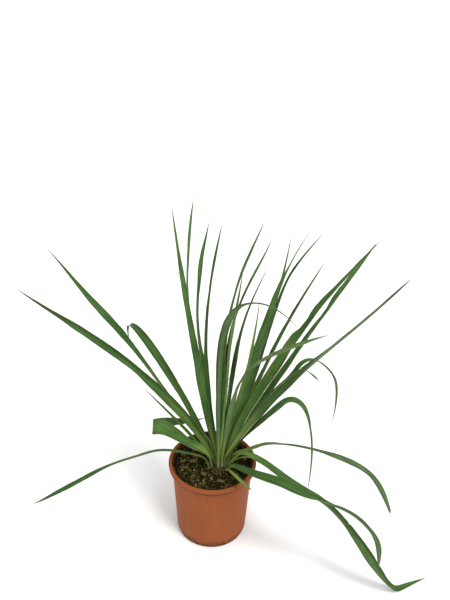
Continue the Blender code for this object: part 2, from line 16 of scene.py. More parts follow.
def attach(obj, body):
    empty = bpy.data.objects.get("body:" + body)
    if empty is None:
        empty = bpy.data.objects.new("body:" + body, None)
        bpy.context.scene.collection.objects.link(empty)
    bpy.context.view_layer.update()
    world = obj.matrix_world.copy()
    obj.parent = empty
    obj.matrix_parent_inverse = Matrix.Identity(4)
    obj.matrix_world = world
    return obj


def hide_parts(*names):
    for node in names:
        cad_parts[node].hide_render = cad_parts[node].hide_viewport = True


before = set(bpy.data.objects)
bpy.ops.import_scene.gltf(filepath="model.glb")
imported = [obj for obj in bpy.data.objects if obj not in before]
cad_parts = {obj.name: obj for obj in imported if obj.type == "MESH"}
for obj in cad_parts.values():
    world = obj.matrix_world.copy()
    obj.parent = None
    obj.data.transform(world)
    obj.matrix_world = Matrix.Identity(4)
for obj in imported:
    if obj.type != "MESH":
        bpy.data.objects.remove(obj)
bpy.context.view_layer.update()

# ------------------------------------------------------------------ dimensions (mm)
RIM_D, POT_H, RIM_DROP, RIM_LIP = 170.0, 170.0, 9.5, 7.0
SKIRT_T, WALL_T = 1.8, 1.8
BODY_TOP_D, BODY_LOW_D, FOOT_D, CHAMFER_H, FLOOR_T = 155.0, 137.5, 130.5, 6.5, 2.6
DRAINS, DRAIN_D, DRAIN_RING_R = 8, 9.0, 47.0
SOIL_Z, SOIL_RELIEF = 157.6, 1.1
CROWN_X, CROWN_Y, CROWN_R = 13.0, -6.0, 17.0

WIDTH_AT = (0, 0.05, 0.12, 0.3, 0.5, 0.7, 0.87, 1)
WIDTH = (0.25, 0.34, 0.48, 0.77, 1.0, 0.82, 0.48, 0.04)
FOLD_AT, FOLD = (0, 0.15, 0.5, 0.85, 1), (38, 30, 20, 24, 30)
TWIST_AT = RISE_AT = (0, 0.12, 0.3, 0.5, 0.7, 0.88, 1)
HEADING_AT = (0, 0.33, 0.66, 1)

# Each leaf as in the CAD model (seat, length, width, fullness, rise, heading, twist), and its
# looks: kind of green, tone, how far up the pale base reaches, dried or cream margins (side,
# from, to, share of the half width), nicks (side, place, depth, reach), peeled threads.
LEAVES = {
    "leaf_left_long": dict(
        seat=(-8.5, 4, 165), length=510, width=29, full=1.0, kind="green",
        rise=(67, 58, 44, 38, 30, 28, 32), heading=(164, 166, 166, 160),
        twist=(0, -35, -20, 15, 5, 20, 20)),
    "leaf_left_upper": dict(
        seat=(-11, 7, 166), length=520, width=23, full=1.0, kind="green",
        rise=(59, 47, 42, 45, 39, 44, 41), heading=(150, 148, 153, 151),
        twist=(0, 0, 45, 25, 0, 15, 30)),
    "leaf_left_bent": dict(
        seat=(-5.5, 9, 167), length=390, width=24, full=1.0, kind="green",
        rise_at=(0, 0.15, 0.4, 0.65, 0.8, 0.9, 0.95, 1),
        rise=(57, 55, 47, 27, -2, -44, -81, -106), heading=(149, 143, 130, 110),
        twist=(0, -25, 10, 18, 2, -15, -30)),
    "leaf_left_slender": dict(
        seat=(-15.5, 3, 163), length=215, width=9, full=1.0, kind="bright",
        rise=(71, 63, 53, 51, 50, 50, 51), heading=(176, 175, 175, 174),
        twist=(0, -20, -20, -5, 0, 0, 0)),
    "leaf_left_creased": dict(
        seat=(-15.5, -4, 162), length=294, width=28, full=1.0, kind="green",
        rise_at=(0, 0.07, 0.17, 0.28, 0.39, 0.49, 0.56, 0.75, 1),
        rise=(87, 75, 51, 37, 30, 24, 11, -1, 14),
        heading_at=(0, 0.2, 0.4, 0.53, 0.61, 0.8, 1),
        heading=(168, 191, 169, 208, 194, 195, 160),
        twist_at=(0, 0.07, 0.17, 0.28, 0.39, 0.48, 0.7, 1),
        twist=(0, -15, -50, -95, -75, -75, -40, -30),
        crease=(0.55, 148)),
    "leaf_left_low": dict(
        seat=(-19, -5.5, 160), length=378, width=17, full=1.1, kind="green",
        rise_at=(0, 0.06, 0.12, 0.2, 0.3, 0.4, 0.5, 0.6, 0.7, 0.8, 0.9, 1),
        rise=(85, 60, 30, 27, 16, -8, -9, -21, -25, -24, -27, -19),
        heading=(198, 198, 197, 188),
        twist=(0, 5, 30, 40, 10, -10, -20)),
    "leaf_young_left": dict(
        seat=(-6.5, 2.5, 168), length=68, width=5, full=1.0, kind="bright",
        rise=(61, 69, 76, 77, 63, 46, 35), heading=(152, 148, 150, 160),
        twist=(0, 0, 0, 5, 5, 0, 0)),
    "leaf_upright_1": dict(
        seat=(-5, 7, 169), length=495, width=24, full=1.0, kind="green",
        rise=(74, 65, 68, 64, 62, 57, 54), heading=(126, 122, 113, 102),
        twist=(0, -20, 5, 36, 44, 52, 45)),
    "leaf_upright_2": dict(
        seat=(-3, 12.5, 167), length=515, width=17, full=1.0, kind="green",
        rise=(59, 53, 58, 62, 57, 52, 53), heading=(113, 118, 94, 78),
        twist=(0, -5, 15, 55, 80, 50, 30)),
    "leaf_upright_3": dict(
        seat=(0.5, 4.5, 170), length=470, width=20, full=0.9, kind="green",
        rise=(47, 58, 65, 55, 54, 51, 72), heading=(114, 114, 90, 63),
        twist=(0, -10, 12, 60, 76, 36, 36)),
    "leaf_upright_4": dict(
        seat=(0.5, 2.5, 172), length=460, width=16, full=1.0, kind="green",
        rise=(63, 58, 67, 72, 65, 62, 65), heading=(114, 104, 80, 67),
        twist=(0, -30, -40, -65, -60, -30, -15)),
    "leaf_front_broad": dict(
        seat=(-1.5, -8.5, 168), length=580, width=22, full=0.8, kind="grey",
        rise_at=(0, 0.15, 0.35, 0.5, 0.6, 0.7, 0.85, 1),
        rise=(88, 88, 87, 80, 66, 48, 22, -14), heading=(-87, -75, -63, -55),
        twist=(0, 0, 25, 20, -10, -20, -25)),
    "leaf_back_1": dict(
        seat=(2, 9.5, 169), length=490, width=14, full=1.0, kind="green",
        rise=(86, 89, 86, 78, 63, 51, 51), heading=(77, 78, 62, 50),
        twist=(0, 0, -15, -42, -48, -8, 10)),
    "leaf_inner_bright": dict(
        seat=(1.5, -3.5, 171), length=460, width=10, full=1.0, kind="bright",
        rise=(85, 84, 84, 87, 80, 78, 82), heading=(-61, -58, -59, -63),
        twist=(0, 10, 25, 30, 10, 5, 0)),
    "leaf_back_2": dict(
        seat=(3, 11, 167), length=470, width=13, full=1.0, kind="green",
        rise=(87, 87, 87, 84, 59, 46, 62), heading=(60, 55, 52, 49),
        twist=(0, -25, -15, -34, -38, -10, 0)),
    "leaf_inner_1": dict(
        seat=(0.5, 0.5, 172), length=405, width=14, full=1.0, kind="green",
        rise=(80, 77, 81, 80, 71, 58, 56), heading=(51, 52, 47, 44),
        twist=(0, -5, -15, -10, -30, -35, -25)),
    "leaf_back_3": dict(
        seat=(5, 7.5, 168), length=460, width=13, full=1.0, kind="green",
        rise=(53, 54, 56, 57, 66, 77, 85), heading=(63, 57, 52, 46),
        twist=(0, 5, -10, -25, -25, -20, -10)),
    "leaf_back_broad": dict(
        seat=(4, 5.5, 169), length=485, width=28, full=0.9, kind="green",
        rise=(70, 70, 71, 72, 72, 61, 47), heading=(41, 35, 33, 31),
        twist=(0, 25, 15, -10, -5, -45, -45)),
    "leaf_back_4": dict(
        seat=(8.5, 9.5, 166), length=485, width=16, full=1.0, kind="green",
        rise=(63, 62, 66, 72, 71, 46, 42), heading=(48, 43, 37, 30),
        twist=(0, 5, -10, -20, -25, -15, 5)),
    "leaf_inner_2": dict(
        seat=(3.5, 2.5, 171), length=365, width=13, full=1.0, kind="bright",
        rise=(78, 76, 78, 77, 83, 86, 91), heading=(19, 20, 14, 1),
        twist=(0, 10, 0, -5, 10, 10, 10)),
    "leaf_front_twisted": dict(
        seat=(5, -5.5, 168), length=475, width=19, full=1.0, kind="grey",
        rise_at=(0, 0.12, 0.28, 0.42, 0.55, 0.7, 0.85, 1),
        rise=(86, 81, 79, 76, 58, 46, 42, 38), heading=(-44, -48, -43, -38),
        twist=(0, -35, -10, 25, -25, -60, -60)),
    "leaf_right_1": dict(
        seat=(6.5, 2.5, 168), length=445, width=20, full=1.0, kind="green",
        rise=(69, 74, 64, 67, 62, 58, 58), heading=(23, 22, 28, 28),
        twist=(0, 25, 10, -20, -24, -25, -15)),
    "leaf_right_broad": dict(
        seat=(12.5, 0, 167), length=530, width=29, full=0.9, kind="green",
        rise=(83, 72, 63, 61, 56, 51, 51), heading=(7, 12, 14, 13),
        twist=(0, 42, 17, 5, -8, -5, 0)),
    "leaf_right_2": dict(
        seat=(14, 5.5, 165), length=510, width=22, full=1.1, kind="green",
        rise=(72, 63, 56, 57, 56, 57, 56), heading=(23, 21, 21, 21),
        twist=(0, 20, 5, -15, -20, 0, 30)),
    "leaf_right_long": dict(
        seat=(8, -3, 167), length=535, width=29, full=1.0, kind="grey",
        rise=(77, 64, 58, 54, 52, 54, 59), heading=(-14, -8, -9, -8),
        twist=(0, 40, 25, 0, -25, -10, 25)),
    "leaf_right_drooping": dict(
        seat=(15.3, 2.5, 164.5), length=491, width=14, full=0.9, kind="green",
        rise_at=(0, 0.1, 0.2, 0.35, 0.45, 0.52, 0.58, 0.64, 0.72, 0.85, 1),
        rise=(80, 75, 61, 53, 41, 54, -8, -44, -55, -84, -96), heading=(-19, 11, 30, 29),
        twist=(0, 30, 25, -8, -13, -15, -18)),
    "leaf_right_arched": dict(
        seat=(14.5, -2.5, 165), length=450, width=20, full=1.0, kind="green",
        rise_at=(0, 0.15, 0.3, 0.42, 0.52, 0.62, 0.8, 1),
        rise=(79, 63, 55, 57, 51, 25, -35, -88), heading=(-4, -34, -71, -104),
        twist_at=(0, 0.12, 0.25, 0.38, 0.5, 0.6, 0.7, 0.85, 1),
        twist=(0, 40, 35, 38, 48, 9, -46, -93, -100)),
    "leaf_right_low": dict(
        seat=(18.5, -0.5, 162), length=424, width=16, full=1.2, kind="green",
        rise_at=(0, 0.06, 0.12, 0.2, 0.3, 0.4, 0.5, 0.6, 0.7, 0.8, 0.9, 1),
        rise=(91, 64, 34, 36, 15, 0, -11, -20, -35, -55, -65, -71), heading=(-18, -15, -6, -5),
        twist_at=(0, 0.12, 0.2, 0.28, 0.36, 0.48, 0.6, 0.75, 0.88, 1),
        twist=(0, 31, 23, -18, -48, -57, -82, -68, -94, -97)),
    "leaf_front_hanging": dict(
        seat=(15, -12.5, 160), length=422, width=23, full=1.1, kind="green",
        rise_at=(0, 0.06, 0.12, 0.2, 0.3, 0.42, 0.52, 0.6, 0.7, 0.8, 0.9, 1),
        rise=(63, 49, 15, 15, 11, -5, -7, -13, -37, -55, -79, -85),
        heading=(-47, -35, -15, -26),
        twist_at=(0, 0.12, 0.25, 0.38, 0.48, 0.56, 0.64, 0.76, 0.88, 1),
        twist=(0, 58, 43, 16, -10, -41, -51, -53, -75, -99)),
    "leaf_floor": dict(
        seat=(18, -7, 162), length=548, width=28, full=1.1, kind="green",
        rise_at=(0, 0.08, 0.16, 0.26, 0.38, 0.5, 0.62, 0.74, 0.82, 0.87, 0.91, 0.95, 1),
        rise=(70, 58, 4, -19, -11, -43, -54, -57, -55, -43, 16, 11, 11),
        heading_at=(0, 0.4, 0.82, 0.92), heading=(-40, -27, -1, 19),
        twist_at=(0, 0.12, 0.25, 0.38, 0.48, 0.58, 0.7, 0.82, 0.92, 1),
        twist=(0, 3, -10, -19, -29, -8, 16, 8, -2, -2)),
    "leaf_young_front": dict(
        seat=(8, -15, 161), length=112, width=10, full=1.1, kind="bright",
        rise=(64, 47, 25, 13, 9, 12, 18), heading=(-63, -62, -58, -53),
        twist=(0, -5, -15, -20, -10, 5, 20)),
    "leaf_young_right": dict(
        seat=(20, 0, 160), length=76, width=5, full=1.0, kind="bright",
        rise=(76, 59, 35, 11, -12, -28, -31), heading=(0, 0, 0, -6),
        twist=(0, 0, -5, -10, -5, -5, 0)),
}


# ------------------------------------------------------------------ small helpers
def smooth_through(at, values, where):
    """A curve through the given values with no overshoot between them (monotone cubic)."""
    x = np.asarray(at, float)
    y = np.asarray(values, float)
    where = np.asarray(where, float)
    h = np.diff(x)
    slope = np.diff(y) / h
    d = np.zeros_like(y)
    for k in range(1, len(x) - 1):
        if slope[k - 1] * slope[k] > 0:
            w1 = 2 * h[k] + h[k - 1]
            w2 = h[k] + 2 * h[k - 1]
            d[k] = (w1 + w2) / (w1 / slope[k - 1] + w2 / slope[k])

    def end(h0, h1, s0, s1):
        e = ((2 * h0 + h1) * s0 - h0 * s1) / (h0 + h1)
        if e * s0 <= 0:
            return 0.0
        if s0 * s1 <= 0 and abs(e) > 3 * abs(s0):
            return 3 * s0
        return e

    d[0] = end(h[0], h[1], slope[0], slope[1])
    d[-1] = end(h[-1], h[-2], slope[-1], slope[-2])
    k = np.clip(np.searchsorted(x, where, side="right") - 1, 0, len(x) - 2)
    t = (where - x[k]) / h[k]
    return (
        y[k] * (1 + 2 * t) * (1 - t) ** 2
        + h[k] * d[k] * t * (1 - t) ** 2
        + y[k + 1] * t**2 * (3 - 2 * t)
        + h[k] * d[k + 1] * t**2 * (t - 1)
    )


def turn_about(vectors, axis, angle):
    """Vectors turned about one unit axis, or about one axis each (Rodrigues)."""
    angle = np.asarray(angle)[:, None]
    axis = np.broadcast_to(axis, vectors.shape)
    along = (vectors * axis).sum(1)[:, None] * axis
    return along + (vectors - along) * np.cos(angle) + np.cross(axis, vectors) * np.sin(angle)


def seed_of(name):
    return sum((i + 3) * ord(c) for i, c in enumerate(name)) % 99991


def waves(where, seed, period, count=5):
    """A smooth wobble between about -1 and 1 along a length; the period is its longest swell."""
    rng = np.random.default_rng(seed)
    where = np.asarray(where, float)
    total, out = 0.0, np.zeros_like(where)
    for k in range(count):
        f = (0.7 + 0.55 * k + 0.3 * rng.random()) / period
        weight = 1 / (1 + 0.7 * k)
        out += weight * np.sin(2 * np.pi * (where * f + rng.random()))
        total += weight
    return out / total * 1.6


def ramp01(x, low, high):
    t = np.clip((np.asarray(x, float) - low) / (high - low), 0, 1)
    return t * t * (3 - 2 * t)


def blade_frame(leaf, steps):
    """Stations along the leaf: share of the length, point (m), and the unit vectors along
    the blade, across it, and out of its upper face. The same construction as the CAD's."""
    s = np.linspace(0.0, 1.0, steps + 1)
    rise = np.radians(smooth_through(leaf.get("rise_at", RISE_AT), leaf["rise"], s))
    heading_at = leaf.get("heading_at", HEADING_AT)
    heading = np.radians(
        smooth_through(heading_at, leaf["heading"], np.minimum(s, heading_at[-1])))
    twist = np.radians(smooth_through(leaf.get("twist_at", TWIST_AT), leaf["twist"], s))
    along = np.stack([
        np.cos(rise) * np.cos(heading), np.cos(rise) * np.sin(heading), np.sin(rise)], 1)
    level = np.stack([-np.sin(heading), np.cos(heading), 0 * s], 1)
    up = np.cross(along, level)
    c, n = np.cos(twist)[:, None], np.sin(twist)[:, None]
    across = c * level + n * up
    out = -n * level + c * up
    if "crease" in leaf:
        at, angle = leaf["crease"]
        k = int(np.argmin(np.abs(s - at)))
        ramp = np.clip((s - at) * leaf["length"] / 9.0 + 0.5, 0, 1)
        turn = -np.radians(angle) * ramp * ramp * (3 - 2 * ramp)
        axis = -across[k]
        along, across, out = (turn_about(v, axis, turn) for v in (along, across, out))
    step = (along[1:] + along[:-1]) / 2 * leaf["length"] / 1000 / steps
    seat = np.array([
        CROWN_X + leaf["seat"][0], CROWN_Y + leaf["seat"][1], leaf["seat"][2]]) / 1000
    point = np.vstack([seat, seat + np.cumsum(step, 0)])
    return s, point, along, across, out


def soil_height(x, y):
    """The CAD soil's top in mm: nearly level, with low lumps."""
    lumps = (
        math.sin(x * 0.11 + 1.3) * math.cos(y * 0.13 - 0.4)
        + 0.6 * math.sin(x * 0.23 - y * 0.19 + 2.1)
        + 0.4 * math.cos(x * 0.31 + y * 0.27)
    )
    r = math.hypot(x - CROWN_X, y - CROWN_Y)
    return SOIL_Z + SOIL_RELIEF * 0.5 * lumps - 0.6 * math.exp(-((r / 26.0) ** 2))


def add_mesh(name, verts, faces, mat, smooth=True, floats=None, sharp=None):
    """A mesh object in metres. floats maps an attribute's name to one value per vertex."""
    mesh = bpy.data.meshes.new(name)
    mesh.from_pydata([tuple(map(float, v)) for v in verts], [], [tuple(map(int, f)) for f in faces])
    mesh.validate()
    for key, values in (floats or {}).items():
        layer = mesh.attributes.new(key, "FLOAT", "POINT")
        layer.data.foreach_set("value", np.asarray(values, np.float32))
    if smooth:
        mesh.shade_smooth()
        if sharp is not None:
            mesh.set_sharp_from_angle(angle=math.radians(sharp))
    mesh.materials.append(mat)
    obj = bpy.data.objects.new(name, mesh)
    bpy.context.scene.collection.objects.link(obj)
    return obj


class Bits:
    """Many small closed bodies gathered into one mesh, with values that colour them."""

    def __init__(self, *keys):
        self.verts, self.faces, self.floats = [], [], {k: [] for k in keys}
        self.count = 0

    def add(self, verts, faces, **values):
        base = self.count
        self.verts.append(np.asarray(verts, float))
        self.faces.extend([tuple(base + i for i in f) for f in faces])
        n = len(verts)
        self.count += n
        for key, store in self.floats.items():
            store.append(np.broadcast_to(np.asarray(values[key], float), (n,)))

    def build(self, name, mat, smooth=True, sharp=None):
        return add_mesh(name, np.vstack(self.verts), self.faces, mat, smooth,
                        {k: np.concatenate(v) for k, v in self.floats.items()}, sharp)


def tube(path, radii, sides=6):
    """A closed tube round a path (arrays in metres), with pointed ends where the radius is 0."""
    path = np.asarray(path, float)
    radii = np.asarray(radii, float)
    tangent = np.gradient(path, axis=0)
    tangent /= np.linalg.norm(tangent, axis=1)[:, None] + 1e-12
    side = np.cross(tangent[0], (0.31, 0.12, 0.94))
    if np.linalg.norm(side) < 1e-3:
        side = np.cross(tangent[0], (1.0, 0, 0))
    verts, side = [], side / np.linalg.norm(side)
    for p, t, r in zip(path, tangent, radii):
        side = side - t * (side @ t)
        side /= np.linalg.norm(side) + 1e-12
        other = np.cross(t, side)
        for k in range(sides):
            a = 2 * math.pi * k / sides
            verts.append(p + r * (math.cos(a) * side + math.sin(a) * other))
    faces = []
    n = len(path)
    for i in range(n - 1):
        for k in range(sides):
            m = (k + 1) % sides
            faces.append((i * sides + k, i * sides + m, (i + 1) * sides + m, (i + 1) * sides + k))
    faces.append(tuple(range(sides))[::-1])
    faces.append(tuple(range((n - 1) * sides, n * sides)))
    return np.array(verts), faces


# ------------------------------------------------------------------ materials
class Mat:
    """A material and short ways to wire its nodes."""

    def __init__(self, name, roughness=0.5, specular=0.4):
        self.mat = bpy.data.materials.new(name)
        self.mat.use_nodes = True
        self.tree = self.mat.node_tree
        self.shader = self.tree.nodes["Principled BSDF"]
        self.shader.inputs["Roughness"].default_value = roughness
        self.shader.inputs["Specular IOR Level"].default_value = specular

    def node(self, kind, **settings):
        made = self.tree.nodes.new(kind)
        for key, value in settings.items():
            setattr(made, key, value)
        return made

    def put(self, socket, value):
        if isinstance(value, bpy.types.NodeSocket):
            self.tree.links.new(value, socket)
        elif isinstance(value, (tuple, list)) and len(value) == 3 and socket.type == "RGBA":
            socket.default_value = (*value, 1.0)
        else:
            socket.default_value = value

    def attr(self, name):
        return self.node("ShaderNodeAttribute", attribute_name=name).outputs["Fac"]

    def uv(self, name):
        return self.node("ShaderNodeUVMap", uv_map=name).outputs["UV"]

    def place(self):
        return self.node("ShaderNodeTexCoord").outputs["Object"]

    def math(self, op, a, b=0.0, clamp=False):
        n = self.node("ShaderNodeMath", operation=op, use_clamp=clamp)
        self.put(n.inputs[0], a)
        if len(n.inputs) > 1:
            self.put(n.inputs[1], b)
        return n.outputs[0]

    def span(self, value, low, high, to_low=0.0, to_high=1.0, smooth=True):
        n = self.node("ShaderNodeMapRange", clamp=True,
                      interpolation_type="SMOOTHSTEP" if smooth else "LINEAR")
        self.put(n.inputs["Value"], value)
        n.inputs["From Min"].default_value = low
        n.inputs["From Max"].default_value = high
        n.inputs["To Min"].default_value = to_low
        n.inputs["To Max"].default_value = to_high
        return n.outputs["Result"]

    def scaled(self, vector, factors):
        n = self.node("ShaderNodeVectorMath", operation="MULTIPLY")
        self.put(n.inputs[0], vector)
        n.inputs[1].default_value = factors
        return n.outputs["Vector"]

    def noise(self, vector, scale=1.0, detail=3.0, rough=0.55, distortion=0.0):
        n = self.node("ShaderNodeTexNoise")
        self.put(n.inputs["Vector"], vector)
        n.inputs["Scale"].default_value = scale
        n.inputs["Detail"].default_value = detail
        n.inputs["Roughness"].default_value = rough
        n.inputs["Distortion"].default_value = distortion
        return n.outputs["Fac"]

    def cells(self, vector, scale=1.0, feature="F1"):
        n = self.node("ShaderNodeTexVoronoi", feature=feature)
        self.put(n.inputs["Vector"], vector)
        n.inputs["Scale"].default_value = scale
        return n.outputs["Distance"]

    def mix(self, fac, a, b, blend="MIX"):
        n = self.node("ShaderNodeMix", data_type="RGBA", blend_type=blend)
        self.put(n.inputs[0], fac)
        self.put(n.inputs[6], a)
        self.put(n.inputs[7], b)
        return n.outputs[2]

    def ramp(self, value, *stops):
        n = self.node("ShaderNodeValToRGB")
        points = n.color_ramp.elements
        while len(points) < len(stops):
            points.new(0.5)
        for point, (at, colour) in zip(points, stops):
            point.position = at
            point.color = (*colour, 1.0)
        self.put(n.inputs["Fac"], value)
        return n.outputs["Color"]

    def bump(self, height, distance, strength=1.0, normal=None):
        n = self.node("ShaderNodeBump")
        n.inputs["Distance"].default_value = distance
        n.inputs["Strength"].default_value = strength
        self.put(n.inputs["Height"], height)
        if normal is not None:
            self.put(n.inputs["Normal"], normal)
        return n.outputs["Normal"]

    def finish(self, colour=None, roughness=None, normal=None):
        if colour is not None:
            self.put(self.shader.inputs["Base Color"], colour)
        if roughness is not None:
            self.put(self.shader.inputs["Roughness"], roughness)
        if normal is not None:
            self.put(self.shader.inputs["Normal"], normal)
        return self.mat


def grain_of(m, strip):
    return m.noise(m.scaled(strip, (2.2, 0.09, 1.0)), 1.0, 2.0, 0.6)


def leaf_material(name, upper_dark, upper_light, under_dark, under_light):
    """Leathery blade: fine lengthwise veins, paler at the sheath, a dull waxy underside, and
    the dried, cream and shaded places that the blade's own values mark."""
    m = Mat(name, 0.5, 0.11)
    strip = m.uv("blade_mm")
    veins = m.noise(m.scaled(strip, (1.7, 0.012, 1.0)), 1.0, 3.0, 0.62)
    bands = m.noise(m.scaled(strip, (0.32, 0.006, 1.0)), 1.0, 2.0, 0.5)
    mottle = m.noise(m.scaled(strip, (0.16, 0.035, 1.0)), 1.0, 3.0, 0.6)
    tone = m.attr("tone")
    level = m.math("ADD", m.math("MULTIPLY", veins, 0.46), m.math("MULTIPLY", bands, 0.34))
    level = m.math("ADD", level, m.math("MULTIPLY", mottle, 0.42))
    level = m.math("ADD", level, m.math("MULTIPLY", tone, 0.30))
    fac = m.span(level, 0.42, 0.82)
    upper = m.mix(fac, upper_dark, upper_light)
    under = m.mix(m.span(level, 0.40, 0.82), under_dark, under_light)
    side = m.attr("under")
    colour = m.mix(side, upper, under)
    # A faint paler midrib on the upper face.
    rib = m.span(m.math("ABSOLUTE", m.attr("edge")), 0.0, 0.16, 1.0, 0.0)
    colour = m.mix(m.math("MULTIPLY", rib, 0.20), colour, (0.17, 0.27, 0.09))
    # Painted shade: duller, darker lengths beside the margins, where the blade's channel turns over into its own
    # shadow.
    beside = m.noise(m.scaled(strip, (0.05, 0.009, 1.0)), 1.0, 2.0, 0.5)
    beside = m.math("MULTIPLY", m.span(beside, 0.42, 0.62),
                    m.span(m.math("ABSOLUTE", m.attr("edge")), 0.45, 0.88))
    colour = m.mix(m.math("MULTIPLY", beside, 0.50), colour, (0.020, 0.044, 0.008))
    # Yellow-green towards the sheath, nearly cream where it clasps the crown.
    pale = m.attr("pale")
    fresh = m.mix(m.span(veins, 0.38, 0.62), (0.105, 0.185, 0.030), (0.33, 0.41, 0.110))
    colour = m.mix(m.span(pale, 0.02, 0.75, 0.0, 0.92, smooth=False), colour, fresh)
    colour = m.mix(m.span(pale, 0.78, 1.1), colour, (0.46, 0.47, 0.21))
    # Painted shade: low down, the blade's sides fold in behind their neighbours and lie dull in their shadow.
    painted_low_shade = m.math("MULTIPLY", m.span(pale, -0.2, 0.6),
                      m.span(m.math("ABSOLUTE", m.attr("edge")), 0.42, 0.92))
    colour = m.mix(m.math("MULTIPLY", painted_low_shade, 0.80), colour, (0.022, 0.038, 0.005))
    # The margin: a thin yellow-brown line.
    margin = m.span(m.math("ABSOLUTE", m.attr("edge")), 0.90, 0.985)
    patchy = m.span(m.noise(m.scaled(strip, (0.01, 0.012, 1.0)), 1.0, 2.0, 0.5), 0.35, 0.65, 0.25, 0.85)
    colour = m.mix(m.math("MULTIPLY", margin, patchy), colour, (0.24, 0.25, 0.070))
    fleck = m.span(m.noise(m.scaled(strip, (0.8, 0.35, 1.0)), 1.0, 2.0, 0.5), 0.70, 0.76)
    colour = m.mix(m.math("MULTIPLY", fleck, 0.35), colour, (0.26, 0.27, 0.09))
    hue = m.attr("hue")
    young = m.mix(m.span(level, 0.36, 0.88), (0.110, 0.190, 0.034), (0.225, 0.325, 0.075))
    colour = m.mix(m.math("MULTIPLY", hue, 0.85), colour, young)
    edge = m.math("ABSOLUTE", m.attr("edge"))
    ragged = m.noise(m.scaled(strip, (0.5, 0.16, 1.0)), 1.0, 3.0, 0.6)
    ragged = m.span(ragged, 0.3, 0.7, 0.72, 1.18, smooth=False)

    def in_strip(name):
        reach = m.math("MULTIPLY", m.attr(name), ragged)
        return m.span(m.math("SUBTRACT", m.math("ADD", edge, reach), 1.0), 0.0, 0.02)

    fresh_edge = m.mix(grain_of(m, strip), (0.120, 0.215, 0.030), (0.230, 0.350, 0.070))
    colour = m.mix(in_strip("fresh"), colour, fresh_edge)
    grain = grain_of(m, strip)
    cream = m.mix(grain, (0.50, 0.46, 0.24), (0.88, 0.84, 0.60))
    colour = m.mix(in_strip("cream"), colour, cream)
    dry = m.attr("dry")
    colour = m.mix(dry, colour, m.mix(grain, (0.070, 0.055, 0.016), (0.26, 0.205, 0.080)))
    # Painted shade: the dark lengths that each look's shades mark as lying in shadow.
    dark = m.attr("shade")
    colour = m.mix(dark, colour, (0.028, 0.045, 0.006))
    rough = m.math("ADD", m.span(veins, 0.3, 0.7, 0.42, 0.56), m.math("MULTIPLY", side, 0.14))
    rough = m.math("ADD", rough, m.math("MULTIPLY", dry, 0.25), clamp=True)
    normal = m.bump(veins, 0.00022, 0.55)
    normal = m.bump(mottle, 0.0009, 0.35, normal)
    return m.finish(colour, rough, normal)


GREEN = leaf_material("leaf_green", (0.030, 0.086, 0.016), (0.100, 0.202, 0.050),
                      (0.066, 0.126, 0.045), (0.148, 0.230, 0.100))
BRIGHT = leaf_material("leaf_bright", (0.050, 0.115, 0.014), (0.140, 0.240, 0.038),
                       (0.085, 0.155, 0.036), (0.175, 0.260, 0.080))
GREY = leaf_material("leaf_grey", (0.038, 0.088, 0.024), (0.095, 0.170, 0.056),
                     (0.064, 0.120, 0.042), (0.135, 0.215, 0.088))


def thread_material():
    m = Mat("leaf_fibre", 0.6, 0.3)
    p = m.place()
    n = m.noise(m.scaled(p, (420, 420, 420)), 1.0, 2.0, 0.6)
    colour = m.ramp(n, (0.3, (0.33, 0.26, 0.14)), (0.55, (0.60, 0.55, 0.38)), (0.8, (0.74, 0.72, 0.58)))
    return m.finish(colour, None, m.bump(n, 0.0002, 0.4))


